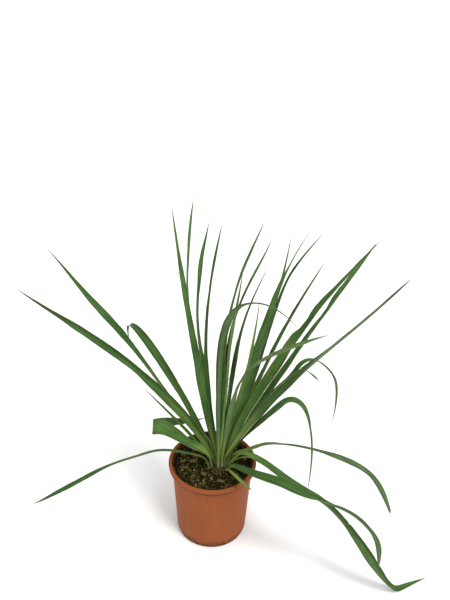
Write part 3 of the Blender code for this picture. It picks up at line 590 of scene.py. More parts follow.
def pot_material():
    """Matt terracotta-coloured plastic: faint cloudiness, handling dust, fine scratches, painted shade
    under and on the rim mixed with soil, a painted shadow line under the rim, and soil splashed round the foot."""
    m = Mat("terracotta_plastic", 0.5, 0.05)
    m.shader.inputs["Sheen Weight"].default_value = 0.01
    m.shader.inputs["Sheen Roughness"].default_value = 0.45
    p = m.place()
    cloud = m.noise(p, 14.0, 4.0, 0.55)
    fine = m.noise(p, 260.0, 3.0, 0.6)
    streak = m.noise(m.scaled(p, (60, 60, 5)), 1.0, 3.0, 0.6)
    level = m.math("ADD", m.math("MULTIPLY", cloud, 0.6), m.math("MULTIPLY", streak, 0.4))
    colour = m.ramp(level, (0.30, (0.236, 0.061, 0.018)), (0.50, (0.268, 0.074, 0.023)),
                    (0.72, (0.300, 0.091, 0.033)))
    colour = m.mix(m.span(fine, 0.45, 0.8, 0.0, 0.14), colour, (0.34, 0.14, 0.060))
    sep = m.node("ShaderNodeSeparateXYZ")
    m.put(sep.inputs[0], p)
    height = sep.outputs["Z"]
    # The rim is a touch darker and redder.
    colour = m.mix(m.span(height, 0.1585, 0.1605, 0.0, 0.30), colour, (0.222, 0.061, 0.022))
    dirt = m.noise(p, 55.0, 5.0, 0.7)
    # Soil splashed and dried round the foot.
    low = m.span(height, 0.001, 0.034, 1.0, 0.0)
    foot = m.span(m.math("ADD", dirt, m.math("MULTIPLY", low, 0.36)), 0.62, 0.86)
    foot = m.math("MULTIPLY", foot, m.span(height, 0.0, 0.040, 1.0, 0.0))
    colour = m.mix(m.math("MULTIPLY", foot, 0.72), colour, (0.075, 0.044, 0.016))
    # Painted shade in the groove under the rim's overhang and on the rim's inner edge, mixed with soil caught there.
    rim_shade_and_soil = m.attr("rim_shade_and_soil")
    colour = m.mix(m.math("MULTIPLY", rim_shade_and_soil, m.span(dirt, 0.30, 0.60, 0.35, 0.85)),
                   colour, (0.070, 0.038, 0.018))
    # A painted shadow line follows the rim's lower edge, broken up by noise.
    lip = (POT_H - RIM_DROP) / 1000
    rim_shadow_line = m.math("MULTIPLY", m.span(height, lip - 0.0034, lip - 0.0020),
                  m.span(height, lip + 0.0008, lip + 0.0018, 1.0, 0.0))
    colour = m.mix(m.math("MULTIPLY", rim_shadow_line, m.span(dirt, 0.25, 0.60, 0.75, 1.0)),
                   colour, (0.034, 0.020, 0.007))
    # Compost stain and painted shade on the inner wall above it, and painted shade on the rim at the back and right.
    wall_stain_and_shade = m.math("MULTIPLY", m.attr("wall_stain_and_shade"), m.span(dirt, 0.25, 0.55, 0.72, 0.96))
    colour = m.mix(wall_stain_and_shade, colour, m.mix(m.span(fine, 0.4, 0.7), (0.026, 0.018, 0.006), (0.075, 0.045, 0.016)))
    speck = m.span(m.cells(p, 75.0), 0.055, 0.085, 1.0, 0.0)
    few = m.span(m.noise(p, 31.0, 1.0, 0.5), 0.57, 0.61)
    colour = m.mix(m.math("MULTIPLY", m.math("MULTIPLY", speck, few), 0.8),
                   colour, (0.07, 0.04, 0.02))
    scratch = m.span(m.noise(m.scaled(p, (900, 900, 14)), 1.0, 1.0, 0.5), 0.66, 0.72)
    colour = m.mix(m.math("MULTIPLY", scratch, 0.14), colour, (0.38, 0.18, 0.10))
    rough = m.math("ADD", m.span(cloud, 0.3, 0.7, 0.42, 0.56), m.math("MULTIPLY", foot, 0.3), True)
    normal = m.bump(fine, 0.00018, 0.5)
    normal = m.bump(cloud, 0.0012, 0.35, normal)
    return m.finish(colour, rough, normal)


def soil_material():
    m = Mat("potting_soil", 0.92, 0.06)
    p = m.place()
    big = m.noise(p, 95.0, 4.0, 0.6)
    fine = m.noise(p, 620.0, 4.0, 0.65)
    level = m.math("ADD", m.math("MULTIPLY", big, 0.5), m.math("MULTIPLY", fine, 0.5))
    colour = m.ramp(level, (0.36, (0.0030, 0.0024, 0.0007)), (0.54, (0.0085, 0.0068, 0.0016)),
                    (0.68, (0.034, 0.028, 0.0065)), (0.82, (0.105, 0.085, 0.026)))
    return m.finish(colour, None, m.bump(fine, 0.0012, 0.9, m.bump(big, 0.003, 0.6)))


def litter_material(name, dark, mid, light):
    """Bark, wood and fibre: grain along each bit, tone by bit."""
    m = Mat(name, 0.85, 0.08)
    p = m.place()
    tone = m.attr("tone")
    grain = m.noise(m.scaled(p, (700, 700, 260)), 1.0, 4.0, 0.65)
    blotch = m.noise(p, 230.0, 3.0, 0.6)
    level = m.math("ADD", m.math("MULTIPLY", grain, 0.35), m.math("MULTIPLY", blotch, 0.25))
    level = m.math("ADD", level, m.math("MULTIPLY", tone, 0.62))
    colour = m.ramp(level, (0.22, dark), (0.58, mid), (0.95, light))
    return m.finish(colour, None, m.bump(grain, 0.0006, 0.8))


POT = pot_material()
SOIL = soil_material()
BARK = litter_material("bark", (0.010, 0.0070, 0.0014), (0.064, 0.047, 0.0120), (0.305, 0.230, 0.084))
FIBRE = litter_material("soil_fibre", (0.010, 0.0080, 0.0016), (0.067, 0.056, 0.0125), (0.330, 0.280, 0.095))
SHEATH = litter_material("crown_sheath", (0.012, 0.010, 0.003), (0.062, 0.050, 0.014), (0.270, 0.215, 0.085))
MOSS = litter_material("seedling_green", (0.060, 0.120, 0.025), (0.115, 0.230, 0.050), (0.240, 0.380, 0.110))
THREAD = thread_material()


# ------------------------------------------------------------------ the leaves' looks
# tone: lighter or darker green; pale: how far up (mm) the pale sheath colour reaches; dry:
# length (mm) of the dried tip; blunt: width share left at the tip; strips: cream or tan dried
# margins as (side, from, to, share of the half width); shades: painted shade on dark lengths
# that lie in shadow, as (side, from, to, share, depth); nicks: bites out of a margin as (side, at, depth mm, reach
# mm), or where long and shallow, a margin that waves; hue: 1 gives a fresh yellow-green stretch, as (from, to,
# amount).
LOOKS = {
    "leaf_left_long": dict(tone=-0.28, pale=85, dry=9,
                           hue=((0.0, 0.30, 0.30),),
                           shades=((-1, 0.08, 1.1, 0.50, 0.72), (-1, 0.74, 1.1, 1.3, 0.60))),
    "leaf_left_upper": dict(tone=-0.35, pale=80, dry=8, hue=((0.0, 0.38, 0.35),)),
    "leaf_left_bent": dict(tone=-0.42, pale=75, dry=6, hue=((0.0, 0.40, 0.30),), shades=((-1, 0.15, 0.9, 0.5, 0.45),)),
    "leaf_left_slender": dict(tone=-0.75, pale=60, dry=60, hue=((0.0, 1.0, 0.15),)),
    "leaf_left_creased": dict(tone=0.05, pale=70, dry=8, shades=((1, 0.50, 0.60, 2.2, 0.5),)),
    "leaf_left_low": dict(tone=-0.45, pale=66, dry=16),
    "leaf_young_left": dict(tone=0.25, pale=60, dry=5, hue=((0.0, 1.0, 0.6),)),
    "leaf_upright_1": dict(tone=0.05, pale=90, dry=9),
    "leaf_upright_2": dict(tone=0.05, pale=75, dry=10, hue=((0.25, 0.5, 0.20),)),
    "leaf_upright_3": dict(tone=-0.25, pale=60, dry=10,
                           nicks=((1, 0.58, 1.9, 34), (-1, 0.58, 1.9, 34), (1, 0.76, -1.3, 30),
                                  (-1, 0.76, -1.3, 30))),
    "leaf_upright_4": dict(tone=-0.25, pale=60, dry=10),
    "leaf_front_broad": dict(tone=-0.35, pale=85, dry=10, strips=((1, 0.42, 0.72, 0.16, "fresh"),),
                             shades=((-1, 0.30, 0.95, 0.30, 0.40),)),
    "leaf_back_1": dict(tone=-0.05, pale=80, dry=9),
    "leaf_inner_bright": dict(tone=0.1, pale=110, dry=8, hue=((0.0, 0.40, 0.75), (0.40, 0.8, 0.35)),
                              shades=((1, 0.42, 0.95, 2.2, 0.30),)),
    "leaf_back_2": dict(tone=-0.1, pale=50, dry=9),
    "leaf_inner_1": dict(tone=-0.2, pale=70, dry=14, shades=((1, 0.44, 0.60, 1.1, 1.0),)),
    "leaf_back_3": dict(tone=0.05, pale=50, dry=18, hue=((0.7, 1.0, 0.5),)),
    "leaf_back_broad": dict(tone=0.20, pale=70, dry=9),
    "leaf_back_4": dict(tone=-0.3, pale=45, dry=9),
    "leaf_inner_2": dict(tone=0.15, pale=60, dry=10, hue=((0.3, 1.0, 0.75),)),
    "leaf_front_twisted": dict(tone=-0.1, pale=80, dry=22, hue=((0.8, 1.0, 0.35),)),
    "leaf_right_1": dict(tone=-0.15, pale=95, dry=9, hue=((0.0, 0.45, 0.28),), strips=((-1, 0.36, 0.50, 0.20, "cream"),)),
    "leaf_right_broad": dict(tone=-0.16, pale=100, dry=9, hue=((0.0, 0.50, 0.18),),
                             nicks=((-1, 0.55, 2.6, 20), (1, 0.55, -1.6, 20), (1, 0.63, 3.4, 19),
                                    (-1, 0.63, -1.6, 19), (-1, 0.72, 2.6, 20), (1, 0.72, -1.8, 20),
                                    (1, 0.84, 1.2, 30), (-1, 0.84, 1.2, 30)),
                             strips=((-1, 0.17, 0.56, 0.17, "cream"),)),
    "leaf_right_2": dict(tone=0.2, pale=80, dry=9,
                         nicks=((1, 0.69, 2.4, 18), (-1, 0.69, -1.2, 18), (-1, 0.775, 2.4, 18),
                                (1, 0.775, -1.8, 18))),
    "leaf_right_long": dict(tone=-0.15, pale=165, dry=9, strips=((-1, 0.14, 0.30, 0.27, "cream"),)),
    "leaf_right_drooping": dict(tone=-0.1, pale=95, dry=8),
    "leaf_right_arched": dict(tone=-0.15, pale=85, dry=8),
    "leaf_right_low": dict(tone=-0.25, pale=76, dry=5, blunt=0.30, hue=((0.0, 0.26, 0.9),)),
    "leaf_front_hanging": dict(tone=-0.38, pale=40, dry=10, hue=((0.22, 0.44, 0.12),)),
    "leaf_floor": dict(tone=-0.2, pale=80, dry=22, nicks=((1, 0.558, 2.6, 2.6),),
                       hue=((0.0, 0.13, 0.85),), shades=((1, 0.42, 0.92, 0.42, 0.7),)),
    "leaf_young_front": dict(tone=0.25, pale=95, dry=3, blunt=0.34, hue=((0.0, 1.0, 0.32),)),
    "leaf_young_right": dict(tone=0.2, pale=70, dry=5, hue=((0.0, 1.0, 0.7),)),
}
KINDS = {"green": GREEN, "bright": BRIGHT, "grey": GREY}
UPPER, ROOT_MM = 15, 13.0


def blade_path(leaf, s):
    """Frame at any share of the length, read off a finely stepped one."""
    fs, point, along, across, out = blade_frame(leaf, 960)
    found = []
    for k, a in enumerate((point, along, across, out)):
        v = np.stack([np.interp(s, fs, a[:, c]) for c in range(3)], 1)
        found.append(v if k == 0 else v / np.linalg.norm(v, axis=1)[:, None])
    return found


def stations(leaf):
    """Shares of the length: closer together at the tip, in the fold and at the base."""
    length = leaf["length"]
    step = 2.6 if length > 200 else 1.4
    n = int(length / step)
    s = list(np.linspace(0, 1, n + 1))
    s += list(np.linspace(1 - 14 / length, 1, 12))
    if "crease" in leaf:
        at = leaf["crease"][0]
        s += list(np.linspace(at - 9 / length, at + 9 / length, 36))
    s = np.unique(np.round(s, 5))
    keep = [s[0]]
    for v in s[1:-1]:
        if (v - keep[-1]) * length > 0.35:
            keep.append(v)
    if (1 - keep[-1]) * length < 0.3:
        keep.pop()
    return np.array(keep + [1.0])


def blade(name):
    """One leaf: a thin channelled strip with a thick midrib low down, margins that waver a
    little, veins drawn along it, and a sheath that turns down into the crown."""
    leaf, look = LEAVES[name], LOOKS[name]
    seed = seed_of(name)
    length, width = leaf["length"], leaf["width"]
    s = stations(leaf)
    point, along, across, out = blade_path(leaf, s)
    full = leaf["full"]
    share = np.array(WIDTH) * np.array((1, 1, 1, 1, 1, full, full * full, 1))
    share[-1] = look.get("blunt", 0.03)
    half = smooth_through(WIDTH_AT, share, s) * width / 2000
    if "blunt" in look:
        # A rounded end instead of a long point.
        half = half * np.sqrt(np.clip((1 - s) * length / 7.0, 0.02, 1))
    fold = np.radians(smooth_through(FOLD_AT, FOLD, s))
    if "crease" in leaf:
        near = np.exp(-(((s - leaf["crease"][0]) * length / 22.0) ** 2))
        fold = fold * (1 - 0.85 * near)
    thick = smooth_through((0, 0.1, 0.5, 1), (2.3, 1.5, 1.05, 0.42), s) / 1000
    mm = s * length

    # The sheath: extra stations below the seat that bend down into the crown.
    extra = 8
    d = np.linspace(1, 0, extra, endpoint=False)
    seat, back = point[0], -along[0]
    goal = np.array([
        CROWN_X + 0.50 * leaf["seat"][0], CROWN_Y + 0.50 * leaf["seat"][1],
        min(leaf["seat"][2] - 5.0, 158.0)]) / 1000
    bend = seat + back * ROOT_MM * 0.5 / 1000
    root = np.array([(1 - t) ** 2 * seat + 2 * t * (1 - t) * bend + t * t * goal for t in d])
    root_along = np.gradient(np.vstack([root, seat]), axis=0)[:-1]
    root_along /= np.linalg.norm(root_along, axis=1)[:, None]
    root_across = across[0] - root_along * (root_along @ across[0])[:, None]
    root_across /= np.linalg.norm(root_across, axis=1)[:, None]
    root_out = np.cross(root_along, root_across)
    point = np.vstack([root, point])
    along = np.vstack([root_along, along])
    across = np.vstack([root_across, across])
    out = np.vstack([root_out, out])
    half = np.concatenate([half[0] * (1 + 0.22 * d), half])
    fold = np.concatenate([np.full(extra, fold[0]), fold])
    thick = np.concatenate([np.full(extra, thick[0]), thick])
    mm = np.concatenate([-ROOT_MM * d, mm])
    s = mm / length

    settle = ramp01(mm, 0, 40)
    turn = np.radians(1.8) * waves(mm, seed + 1, 130) * settle
    across, out = turn_about(across, along, turn), turn_about(out, along, turn)
    halves, folds, ripple = [], [], []
    for k in (0, 1):
        h = half * (1 + 0.012 * waves(mm, seed + 2 + k, 110) * settle)
        for side, at, depth, reach in look.get("nicks", ()):
            if (side > 0) == (k == 1):
                h = h - depth / 1000 * np.exp(-(((s - at) * length / reach) ** 2) ** 2)
        halves.append(np.maximum(h, 0.00012))
        folds.append(fold * (1 + 0.12 * waves(mm, seed + 4 + k, 150)))
        ripple.append(0.00016 * waves(mm, seed + 6 + k, 34) * settle * ramp01(half, 0.001, 0.006))

    u = -np.cos(np.pi * np.arange(UPPER) / (UPPER - 1))
    u[UPPER // 2] = 0.0
    ring_u = np.concatenate([u, u[-2:0:-1]])
    is_under = np.concatenate([np.zeros(UPPER), np.ones(UPPER - 2)])
    is_under[0] = is_under[UPPER - 1] = 0.5
    n, m = len(s), len(ring_u)
    verts = np.empty((n, m, 3))
    for j, v in enumerate(ring_u):
        k = 1 if v > 0 else 0
        h, f, rip = halves[k], folds[k], ripple[k]
        mid = point + across * (h * np.cos(f) * v)[:, None]
        lift = h * np.sin(f) * abs(v) ** 1.35 + rip * abs(v) ** 3
        body = 0.00026 + (thick - 0.00026) * (1 - abs(v)) ** 0.8
        body = np.minimum(body, h * 0.9)
        if abs(v) > 0.999:
            body = body * 0
        up = lift + body / 2 * (1 if is_under[j] < 0.6 else -1)
        verts[:, j] = mid + out * up[:, None]
    flat = verts.reshape(-1, 3)

    faces, uv_mm, uv_bake = [], [], []
    rows = max(1, round(math.sqrt((mm[-1] - mm[0]) / (2.2 * width))))
    run = (mm[-1] - mm[0] + 0.01) / rows
    offset = (seed % 977) * 1.7

    def corner(i, j, under, row):
        v = 1 if (under and j % m == 0) else ring_u[j % m]
        v = ring_u[j % m]
        x = v * width / 2
        uv_mm.append((x + offset + (300 if under else 0), mm[i] + offset))
        a = (mm[i] - mm[0] - row * run) / run
        b = (row * 2 + (1 if under else 0) + 0.04 + 0.92 * (v + 1) / 2) / (2 * rows)
        uv_bake.append((0.004 + 0.992 * a, b))

    for i in range(n - 1):
        row = min(rows - 1, int((mm[i] + mm[i + 1] - 2 * mm[0]) / 2 / run))
        for j in range(m):
            under = j >= UPPER - 1
            w = (j + 1) % m
            faces.append((i * m + j, (i + 1) * m + j, (i + 1) * m + w, i * m + w))
            for a, b in ((i, j), (i + 1, j), (i + 1, w), (i, w)):
                corner(a, b, under, row)
    for i, flip in ((0, False), (n - 1, True)):
        row = 0 if i == 0 else rows - 1
        for j in range(UPPER - 1):
            low_a, low_b = (m - j) % m, (m - j - 1) % m
            ids = [j, j + 1, low_b, low_a]
            if j == 0:
                ids = [0, 1, low_b]
            elif j == UPPER - 2:
                ids = [j, j + 1, low_a]
            if flip:
                ids = ids[::-1]
            faces.append(tuple(i * m + q for q in ids))
            for q in ids:
                corner(i, q, False, row)

    tone = look.get("tone", 0.0) + 0.16 * waves(mm, seed + 11, 150)
    pale = 1.0 - (mm - 2.0) / look.get("pale", 55)
    tip = length - mm
    dry = 1 - ramp01(tip, look["dry"] * 0.25, look["dry"])
    hue = np.zeros(n)
    for low, high, amount in look.get("hue", ()):
        edge = 0.05
        hue = np.maximum(hue, amount * ramp01(s, low - edge - 0.001, low)
                         * (1 - ramp01(s, high, high + 2 * edge)))
    full_tone = np.repeat(tone[:, None], m, 1)
    strip = {"cream": np.zeros((n, m)), "fresh": np.zeros((n, m))}
    for side, low, high, part, sort in look.get("strips", ()):
        reach = part * ramp01(s, low, low + 0.05) * (1 - ramp01(s, high - 0.05, high))
        for j, v in enumerate(ring_u):
            if v * side > 0:
                strip[sort][:, j] = np.maximum(strip[sort][:, j], reach)
    # Painted shade along the lengths that the look's shades mark as lying in shadow.
    shade = np.zeros((n, m))
    for side, low, high, part, depth in look.get("shades", ()):
        reach = depth * ramp01(s, low, low + 0.06) * (1 - ramp01(s, high - 0.06, high))
        for j, v in enumerate(ring_u):
            shade[:, j] = np.maximum(
                shade[:, j], reach * ramp01(v * side, 1 - part - 0.12, 1 - part + 0.12))

    def spread(values):
        return np.repeat(values[:, None], m, 1).ravel()

    obj = add_mesh(name + "_blade", flat, faces, KINDS[leaf["kind"]], floats={
        "edge": np.tile(ring_u, n), "under": np.tile(is_under, n), "tone": full_tone.ravel(),
        "pale": spread(pale), "dry": spread(dry), "hue": spread(hue),
        "cream": strip["cream"].ravel(), "fresh": strip["fresh"].ravel(),
        "shade": shade.ravel()})
    mesh = obj.data
    for layer_name, values in (("blade_mm", uv_mm), ("OFBake", uv_bake)):
        layer = mesh.uv_layers.new(name=layer_name, do_init=False)
        layer.data.foreach_set("uv", np.asarray(values, np.float32).ravel())
    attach(obj, "root")
    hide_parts(name)
    return obj


for leaf_name in LEAVES:
    blade(leaf_name)


# ------------------------------------------------------------------ pot
def rounded(points, radii, per=4):
    """An open profile whose corners are turned to small arcs."""
    found = []
    for k, (p, r) in enumerate(zip(points, radii)):
        if r == 0 or k in (0, len(points) - 1):
            found.append(p)
            continue
        p = np.array(p, float)
        before, after = np.array(points[k - 1], float) - p, np.array(points[k + 1], float) - p
        a = p + before * min(r / np.linalg.norm(before), 0.48)
        b = p + after * min(r / np.linalg.norm(after), 0.48)
        for t in np.linspace(0, 1, per + 1):
            q = (1 - t) ** 2 * a + 2 * t * (1 - t) * p + t * t * b
            found.append((float(q[0]), float(q[1])))
    return found


def filled(profile, longest):
    """The profile with long straight runs divided, so that the wall can carry a ripple."""
    found = [profile[0]]
    for p, q in zip(profile, profile[1:]):
        n = max(1, int(math.hypot(q[0] - p[0], q[1] - p[1]) / longest))
        for k in range(1, n + 1):
            found.append((p[0] + (q[0] - p[0]) * k / n, p[1] + (q[1] - p[1]) * k / n))
    return found


def cut_by(obj, cutter):
    """The object's mesh with the cutter's volume taken away, and the cutter removed."""
    change = obj.modifiers.new("cut", "BOOLEAN")
    change.operation, change.solver, change.object = "DIFFERENCE", "EXACT", cutter
    bpy.context.view_layer.update()
    graph = bpy.context.evaluated_depsgraph_get()
    made = bpy.data.meshes.new_from_object(obj.evaluated_get(graph))
    obj.modifiers.remove(change)
    old, obj.data = obj.data, made
    bpy.data.meshes.remove(old)
    bpy.data.objects.remove(cutter)


def pot():
    rim_r, body_r = RIM_D / 2, BODY_TOP_D / 2
    lip_in, low_r, foot_r = rim_r - RIM_LIP, BODY_LOW_D / 2, FOOT_D / 2
    skirt_z = POT_H - RIM_DROP
    corners = [
        ((0.0, 1.0), 0), ((foot_r - 9.0, 1.0), 0.5), ((foot_r - 7.6, 0.0), 0.5),
        ((foot_r, 0.0), 0.6), ((foot_r + 1.2, 0.6), 0.6), ((low_r - 0.8, CHAMFER_H - 1.5), 2.4),
        ((low_r, CHAMFER_H + 1.5), 2.4), ((body_r, skirt_z - 1.0), 1.2),
        ((body_r + 1.6, skirt_z + 4.0), 1.6), ((lip_in + WALL_T, POT_H - 3.6), 0.9),
        ((rim_r - SKIRT_T - 1.6, POT_H - 3.6), 0.7), ((rim_r - SKIRT_T - 0.4, POT_H - 4.8), 0.7),
        ((rim_r - SKIRT_T - 0.8, skirt_z), 0.35), ((rim_r - 0.9, skirt_z), 0.5),
        ((rim_r - 0.1, POT_H - 3.4), 1.5), ((rim_r - 0.9, POT_H - 1.2), 1.0),
        ((rim_r - 2.6, POT_H), 1.0), ((lip_in + 1.6, POT_H), 0.9), ((lip_in + 0.2, POT_H - 1.0), 0.9),
        ((lip_in - 0.3, POT_H - 3.0), 1.0), ((body_r - WALL_T, skirt_z - 1.0), 1.5),
        ((low_r - WALL_T, CHAMFER_H + 2.5), 2.0), ((foot_r - 1.0, FLOOR_T + 0.8), 0.8),
        ((foot_r - 3.0, FLOOR_T), 0.8), ((0.0, FLOOR_T), 0),
    ]
    profile = filled(rounded([c[0] for c in corners], [c[1] for c in corners]), 9.0)
    segments = 224
    verts, rings = [], []
    for r, z in profile:
        if r == 0:
            rings.append([len(verts)])
            verts.append((0, 0, z / 1000))
            continue
        ring = []
        up = (z / POT_H) ** 2
        for k in range(segments):
            a = 2 * math.pi * k / segments
            # A thin moulded wall is never quite round, and its rim never quite level.
            rr = r + up * (0.30 * math.sin(2 * a + 0.7) + 0.16 * math.sin(3 * a + 2.1)
                           + 0.05 * math.sin(11 * a)) - 0.28 * up
            zz = z - (0.26 + 0.22 * math.sin(2 * a + 2.6)) * up if z > 120 else z
            ring.append(len(verts))
            verts.append((rr * math.cos(a) / 1000, rr * math.sin(a) / 1000, zz / 1000))
        rings.append(ring)
    faces = []
    for a, b in zip(rings, rings[1:]):
        for k in range(segments):
            n = (k + 1) % segments
            if len(a) == 1:
                faces.append((a[0], b[n], b[k])[::-1])
            elif len(b) == 1:
                faces.append((a[k], a[n], b[0]))
            else:
                faces.append((a[k], a[n], b[n], b[k]))
    obj = add_mesh("pot_body", verts, faces, POT)
    bm = bmesh.new()
    for k in range(DRAINS):
        a = 2 * math.pi * k / DRAINS
        made = bmesh.ops.create_cone(
            bm, cap_ends=True, segments=28, radius1=DRAIN_D / 2000, radius2=DRAIN_D / 2000,
            depth=0.012)
        bmesh.ops.translate(bm, verts=made["verts"], vec=(
            DRAIN_RING_R / 1000 * math.cos(a), DRAIN_RING_R / 1000 * math.sin(a), 0.001))
        b = a + math.pi / DRAINS
        slot = bmesh.ops.create_cone(
            bm, cap_ends=True, segments=22, radius1=0.0036, radius2=0.0036, depth=0.016)
        bmesh.ops.rotate(bm, verts=slot["verts"], cent=(0, 0, 0), matrix=(
            Vector((0, 0, 1)).rotation_difference(
                Vector((math.cos(b), math.sin(b), -0.15))).to_matrix()))
        bmesh.ops.translate(bm, verts=slot["verts"], vec=(
            0.0666 * math.cos(b), 0.0666 * math.sin(b), 0.0052))
    mesh = bpy.data.meshes.new("drain_cutter")
    bm.to_mesh(mesh)
    bm.free()
    cutter = bpy.data.objects.new("drain_cutter", mesh)
    bpy.context.scene.collection.objects.link(cutter)
    cut_by(obj, cutter)
    mesh = obj.data
    co = np.empty(len(mesh.vertices) * 3, np.float32)
    mesh.vertices.foreach_get("co", co)
    co = co.reshape(-1, 3) * 1000
    r, z = np.hypot(co[:, 0], co[:, 1]), co[:, 2]
    # Painted shade under the rim's overhang and on the rim's inner edge, with soil caught there.
    rim_shade_and_soil_mask = ramp01(z, skirt_z - 12, skirt_z - 5.5) * (r > body_r - 3.5) * (r < rim_r - 1.2)
    rim_shade_and_soil_mask = rim_shade_and_soil_mask * (z < POT_H - 3)
    # The inner side of the wall, told from the outer by its radius at that height.
    outer_r = low_r + (body_r - low_r) * (z - CHAMFER_H) / (skirt_z - CHAMFER_H)
    inner = np.where(z < skirt_z + 0.5, r < outer_r - 0.9, r < lip_in + 0.6)
    wall_stain_and_shade_mask = inner * ramp01(z, 90, 100) * (1 - ramp01(z, 165.8, 168.4)) * (r > 50)
    # Painted shade on the rim at the back and, fainter, at the right, where leaves shade it.
    angle = np.degrees(np.arctan2(co[:, 1], co[:, 0]))
    back_rim_shade = ramp01(angle, 58, 72) * (1 - ramp01(angle, 118, 134)) * (z > 160) * (r > 70)
    right_rim_shade = ramp01(angle, -22, -4) * (1 - ramp01(angle, 36, 60)) * (z > 160) * (r > 70)
    wall_stain_and_shade_mask = np.maximum(wall_stain_and_shade_mask, np.maximum(0.95 * back_rim_shade, 0.55 * right_rim_shade))
    for key, value in (("rim_shade_and_soil", rim_shade_and_soil_mask), ("wall_stain_and_shade", wall_stain_and_shade_mask)):
        layer = mesh.attributes.new(key, "FLOAT", "POINT")
        layer.data.foreach_set("value", value.astype(np.float32))
    mesh.shade_smooth()
    mesh.set_sharp_from_angle(angle=math.radians(38))
    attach(obj, "root")
    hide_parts("pot")


pot()


# ------------------------------------------------------------------ soil and what lies on it
def inner_radius(z):
    top_z, low_z = POT_H - RIM_DROP - 1.0, CHAMFER_H + 2.5
    top, low = BODY_TOP_D / 2 - WALL_T, BODY_LOW_D / 2 - WALL_T
    return low + (top - low) * (z - low_z) / (top_z - low_z)


def ground(x, y):
    """Height of the loose compost (mm) as it is drawn: the CAD's lumps with finer ones."""
    r = math.hypot(x, y)
    fine = 1.25 * noise.noise((x / 9.0, y / 9.0, 1.7)) + 0.75 * noise.noise((x / 3.6, y / 3.6, 5.2))
    fine += 0.35 * noise.noise((x / 1.7, y / 1.7, 9.4))
    edge = max(0.0, (r - 62.0) / 12.0)
    fine += 2.3 * edge * edge + 1.4 * edge * noise.noise((x / 7.0, y / 7.0, 21.0))
    crown = math.hypot(x - CROWN_X, y - CROWN_Y)
    heap = 1.7 * math.exp(-((crown / 21.0) ** 2))
    return soil_height(x, y) + fine + heap


def soil():
    segments = 210
    verts, rings = [], []

    def ring(r, z, rough=0.0):
        made = []
        for k in range(segments):
            a = 2 * math.pi * k / segments
            x, y = r * math.cos(a), r * math.sin(a)
            q = 1 - rough * abs(noise.noise((x / 5, y / 5, z / 5))) / max(r, 1)
            made.append(len(verts))
            verts.append((x * q / 1000, y * q / 1000, z / 1000))
        rings.append(made)

    low = len(verts)
    verts.append((0, 0, (FLOOR_T + 0.35) / 1000))
    ring(FOOT_D / 2 - 5.0, FLOOR_T + 0.35)
    for z in np.linspace(CHAMFER_H + 3.5, SOIL_Z - 6, 16):
        ring(inner_radius(z) - 0.25, z, 0.9)
    ring(inner_radius(SOIL_Z - 3.0) - 0.3, SOIL_Z - 3.2, 0.6)
    edge = inner_radius(SOIL_Z) - 0.35
    for t in np.linspace(1, 0, 60)[:-1]:
        made = []
        for k in range(segments):
            a = 2 * math.pi * k / segments
            x, y = t * edge * math.cos(a), t * edge * math.sin(a)
            made.append(len(verts))
            verts.append((x / 1000, y / 1000, ground(x, y) / 1000))
        rings.append(made)
    top = len(verts)
    verts.append((0, 0, ground(0, 0) / 1000))
    faces = []
    for k in range(segments):
        n = (k + 1) % segments
        faces.append((low, rings[0][n], rings[0][k]))
        faces.append((rings[-1][k], rings[-1][n], top))
    for a, b in zip(rings, rings[1:]):
        for k in range(segments):
            n = (k + 1) % segments
            faces.append((a[k], a[n], b[n], b[k]))
    obj = add_mesh("potting_mix", verts, faces, SOIL)
    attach(obj, "root")
    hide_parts("soil")


soil()


def turned_about(points, yaw, tilt, roll):
    m = (Matrix.Rotation(yaw, 3, "Z") @ Matrix.Rotation(tilt, 3, "Y") @ Matrix.Rotation(roll, 3, "X"))
    return np.asarray(points) @ np.array(m).T


def flake(rng, length, width, thick, sides=8):
    """A torn chip of bark: an irregular, splintered outline with a domed, uneven top."""
    angle = (np.arange(sides) + rng.uniform(-0.3, 0.3, sides)) * 2 * math.pi / sides
    reach = rng.uniform(0.72, 1.12, sides)
    x, y = reach * np.cos(angle) * length / 2, reach * np.sin(angle) * width / 2
    bow = rng.uniform(-0.12, 0.12) * length
    z = bow * (2 * x / length) ** 2
    low = np.stack([x * 0.93, y * 0.9, z - thick * rng.uniform(0.35, 0.6, sides)], 1)
    high = np.stack([x, y, z + thick * rng.uniform(0.15, 0.5, sides)], 1)
    inner = np.stack([x * 0.55, y * 0.55, bow * (1.1 * x / length) ** 2
                      + thick * rng.uniform(0.4, 0.75, sides)], 1)
    verts = np.vstack([low, high, inner, [[0, 0, thick * 0.55]], [[0, 0, -thick * 0.5]]])
    faces = []
    for k in range(sides):
        n = (k + 1) % sides
        faces.append((k, n, sides + n, sides + k))
        faces.append((sides + k, sides + n, 2 * sides + n, 2 * sides + k))
        faces.append((2 * sides + k, 2 * sides + n, 3 * sides))
        faces.append((n, k, 3 * sides + 1))
    return verts, faces


def lump(rng, size):
    """A crumb of compost."""
    t = (1 + math.sqrt(5)) / 2
    v = np.array([(-1, t, 0), (1, t, 0), (-1, -t, 0), (1, -t, 0), (0, -1, t), (0, 1, t),
                  (0, -1, -t), (0, 1, -t), (t, 0, -1), (t, 0, 1), (-t, 0, -1), (-t, 0, 1)], float)
    v *= (size / 2 / 1.9) * rng.uniform(0.65, 1.25, (12, 1)) * rng.uniform(0.6, 1.3, (1, 3))
    f = [(0, 11, 5), (0, 5, 1), (0, 1, 7), (0, 7, 10), (0, 10, 11), (1, 5, 9), (5, 11, 4),
         (11, 10, 2), (10, 7, 6), (7, 1, 8), (3, 9, 4), (3, 4, 2), (3, 2, 6), (3, 6, 8),
         (3, 8, 9), (4, 9, 5), (2, 4, 11), (6, 2, 10), (8, 6, 7), (9, 8, 1)]
    return v, f


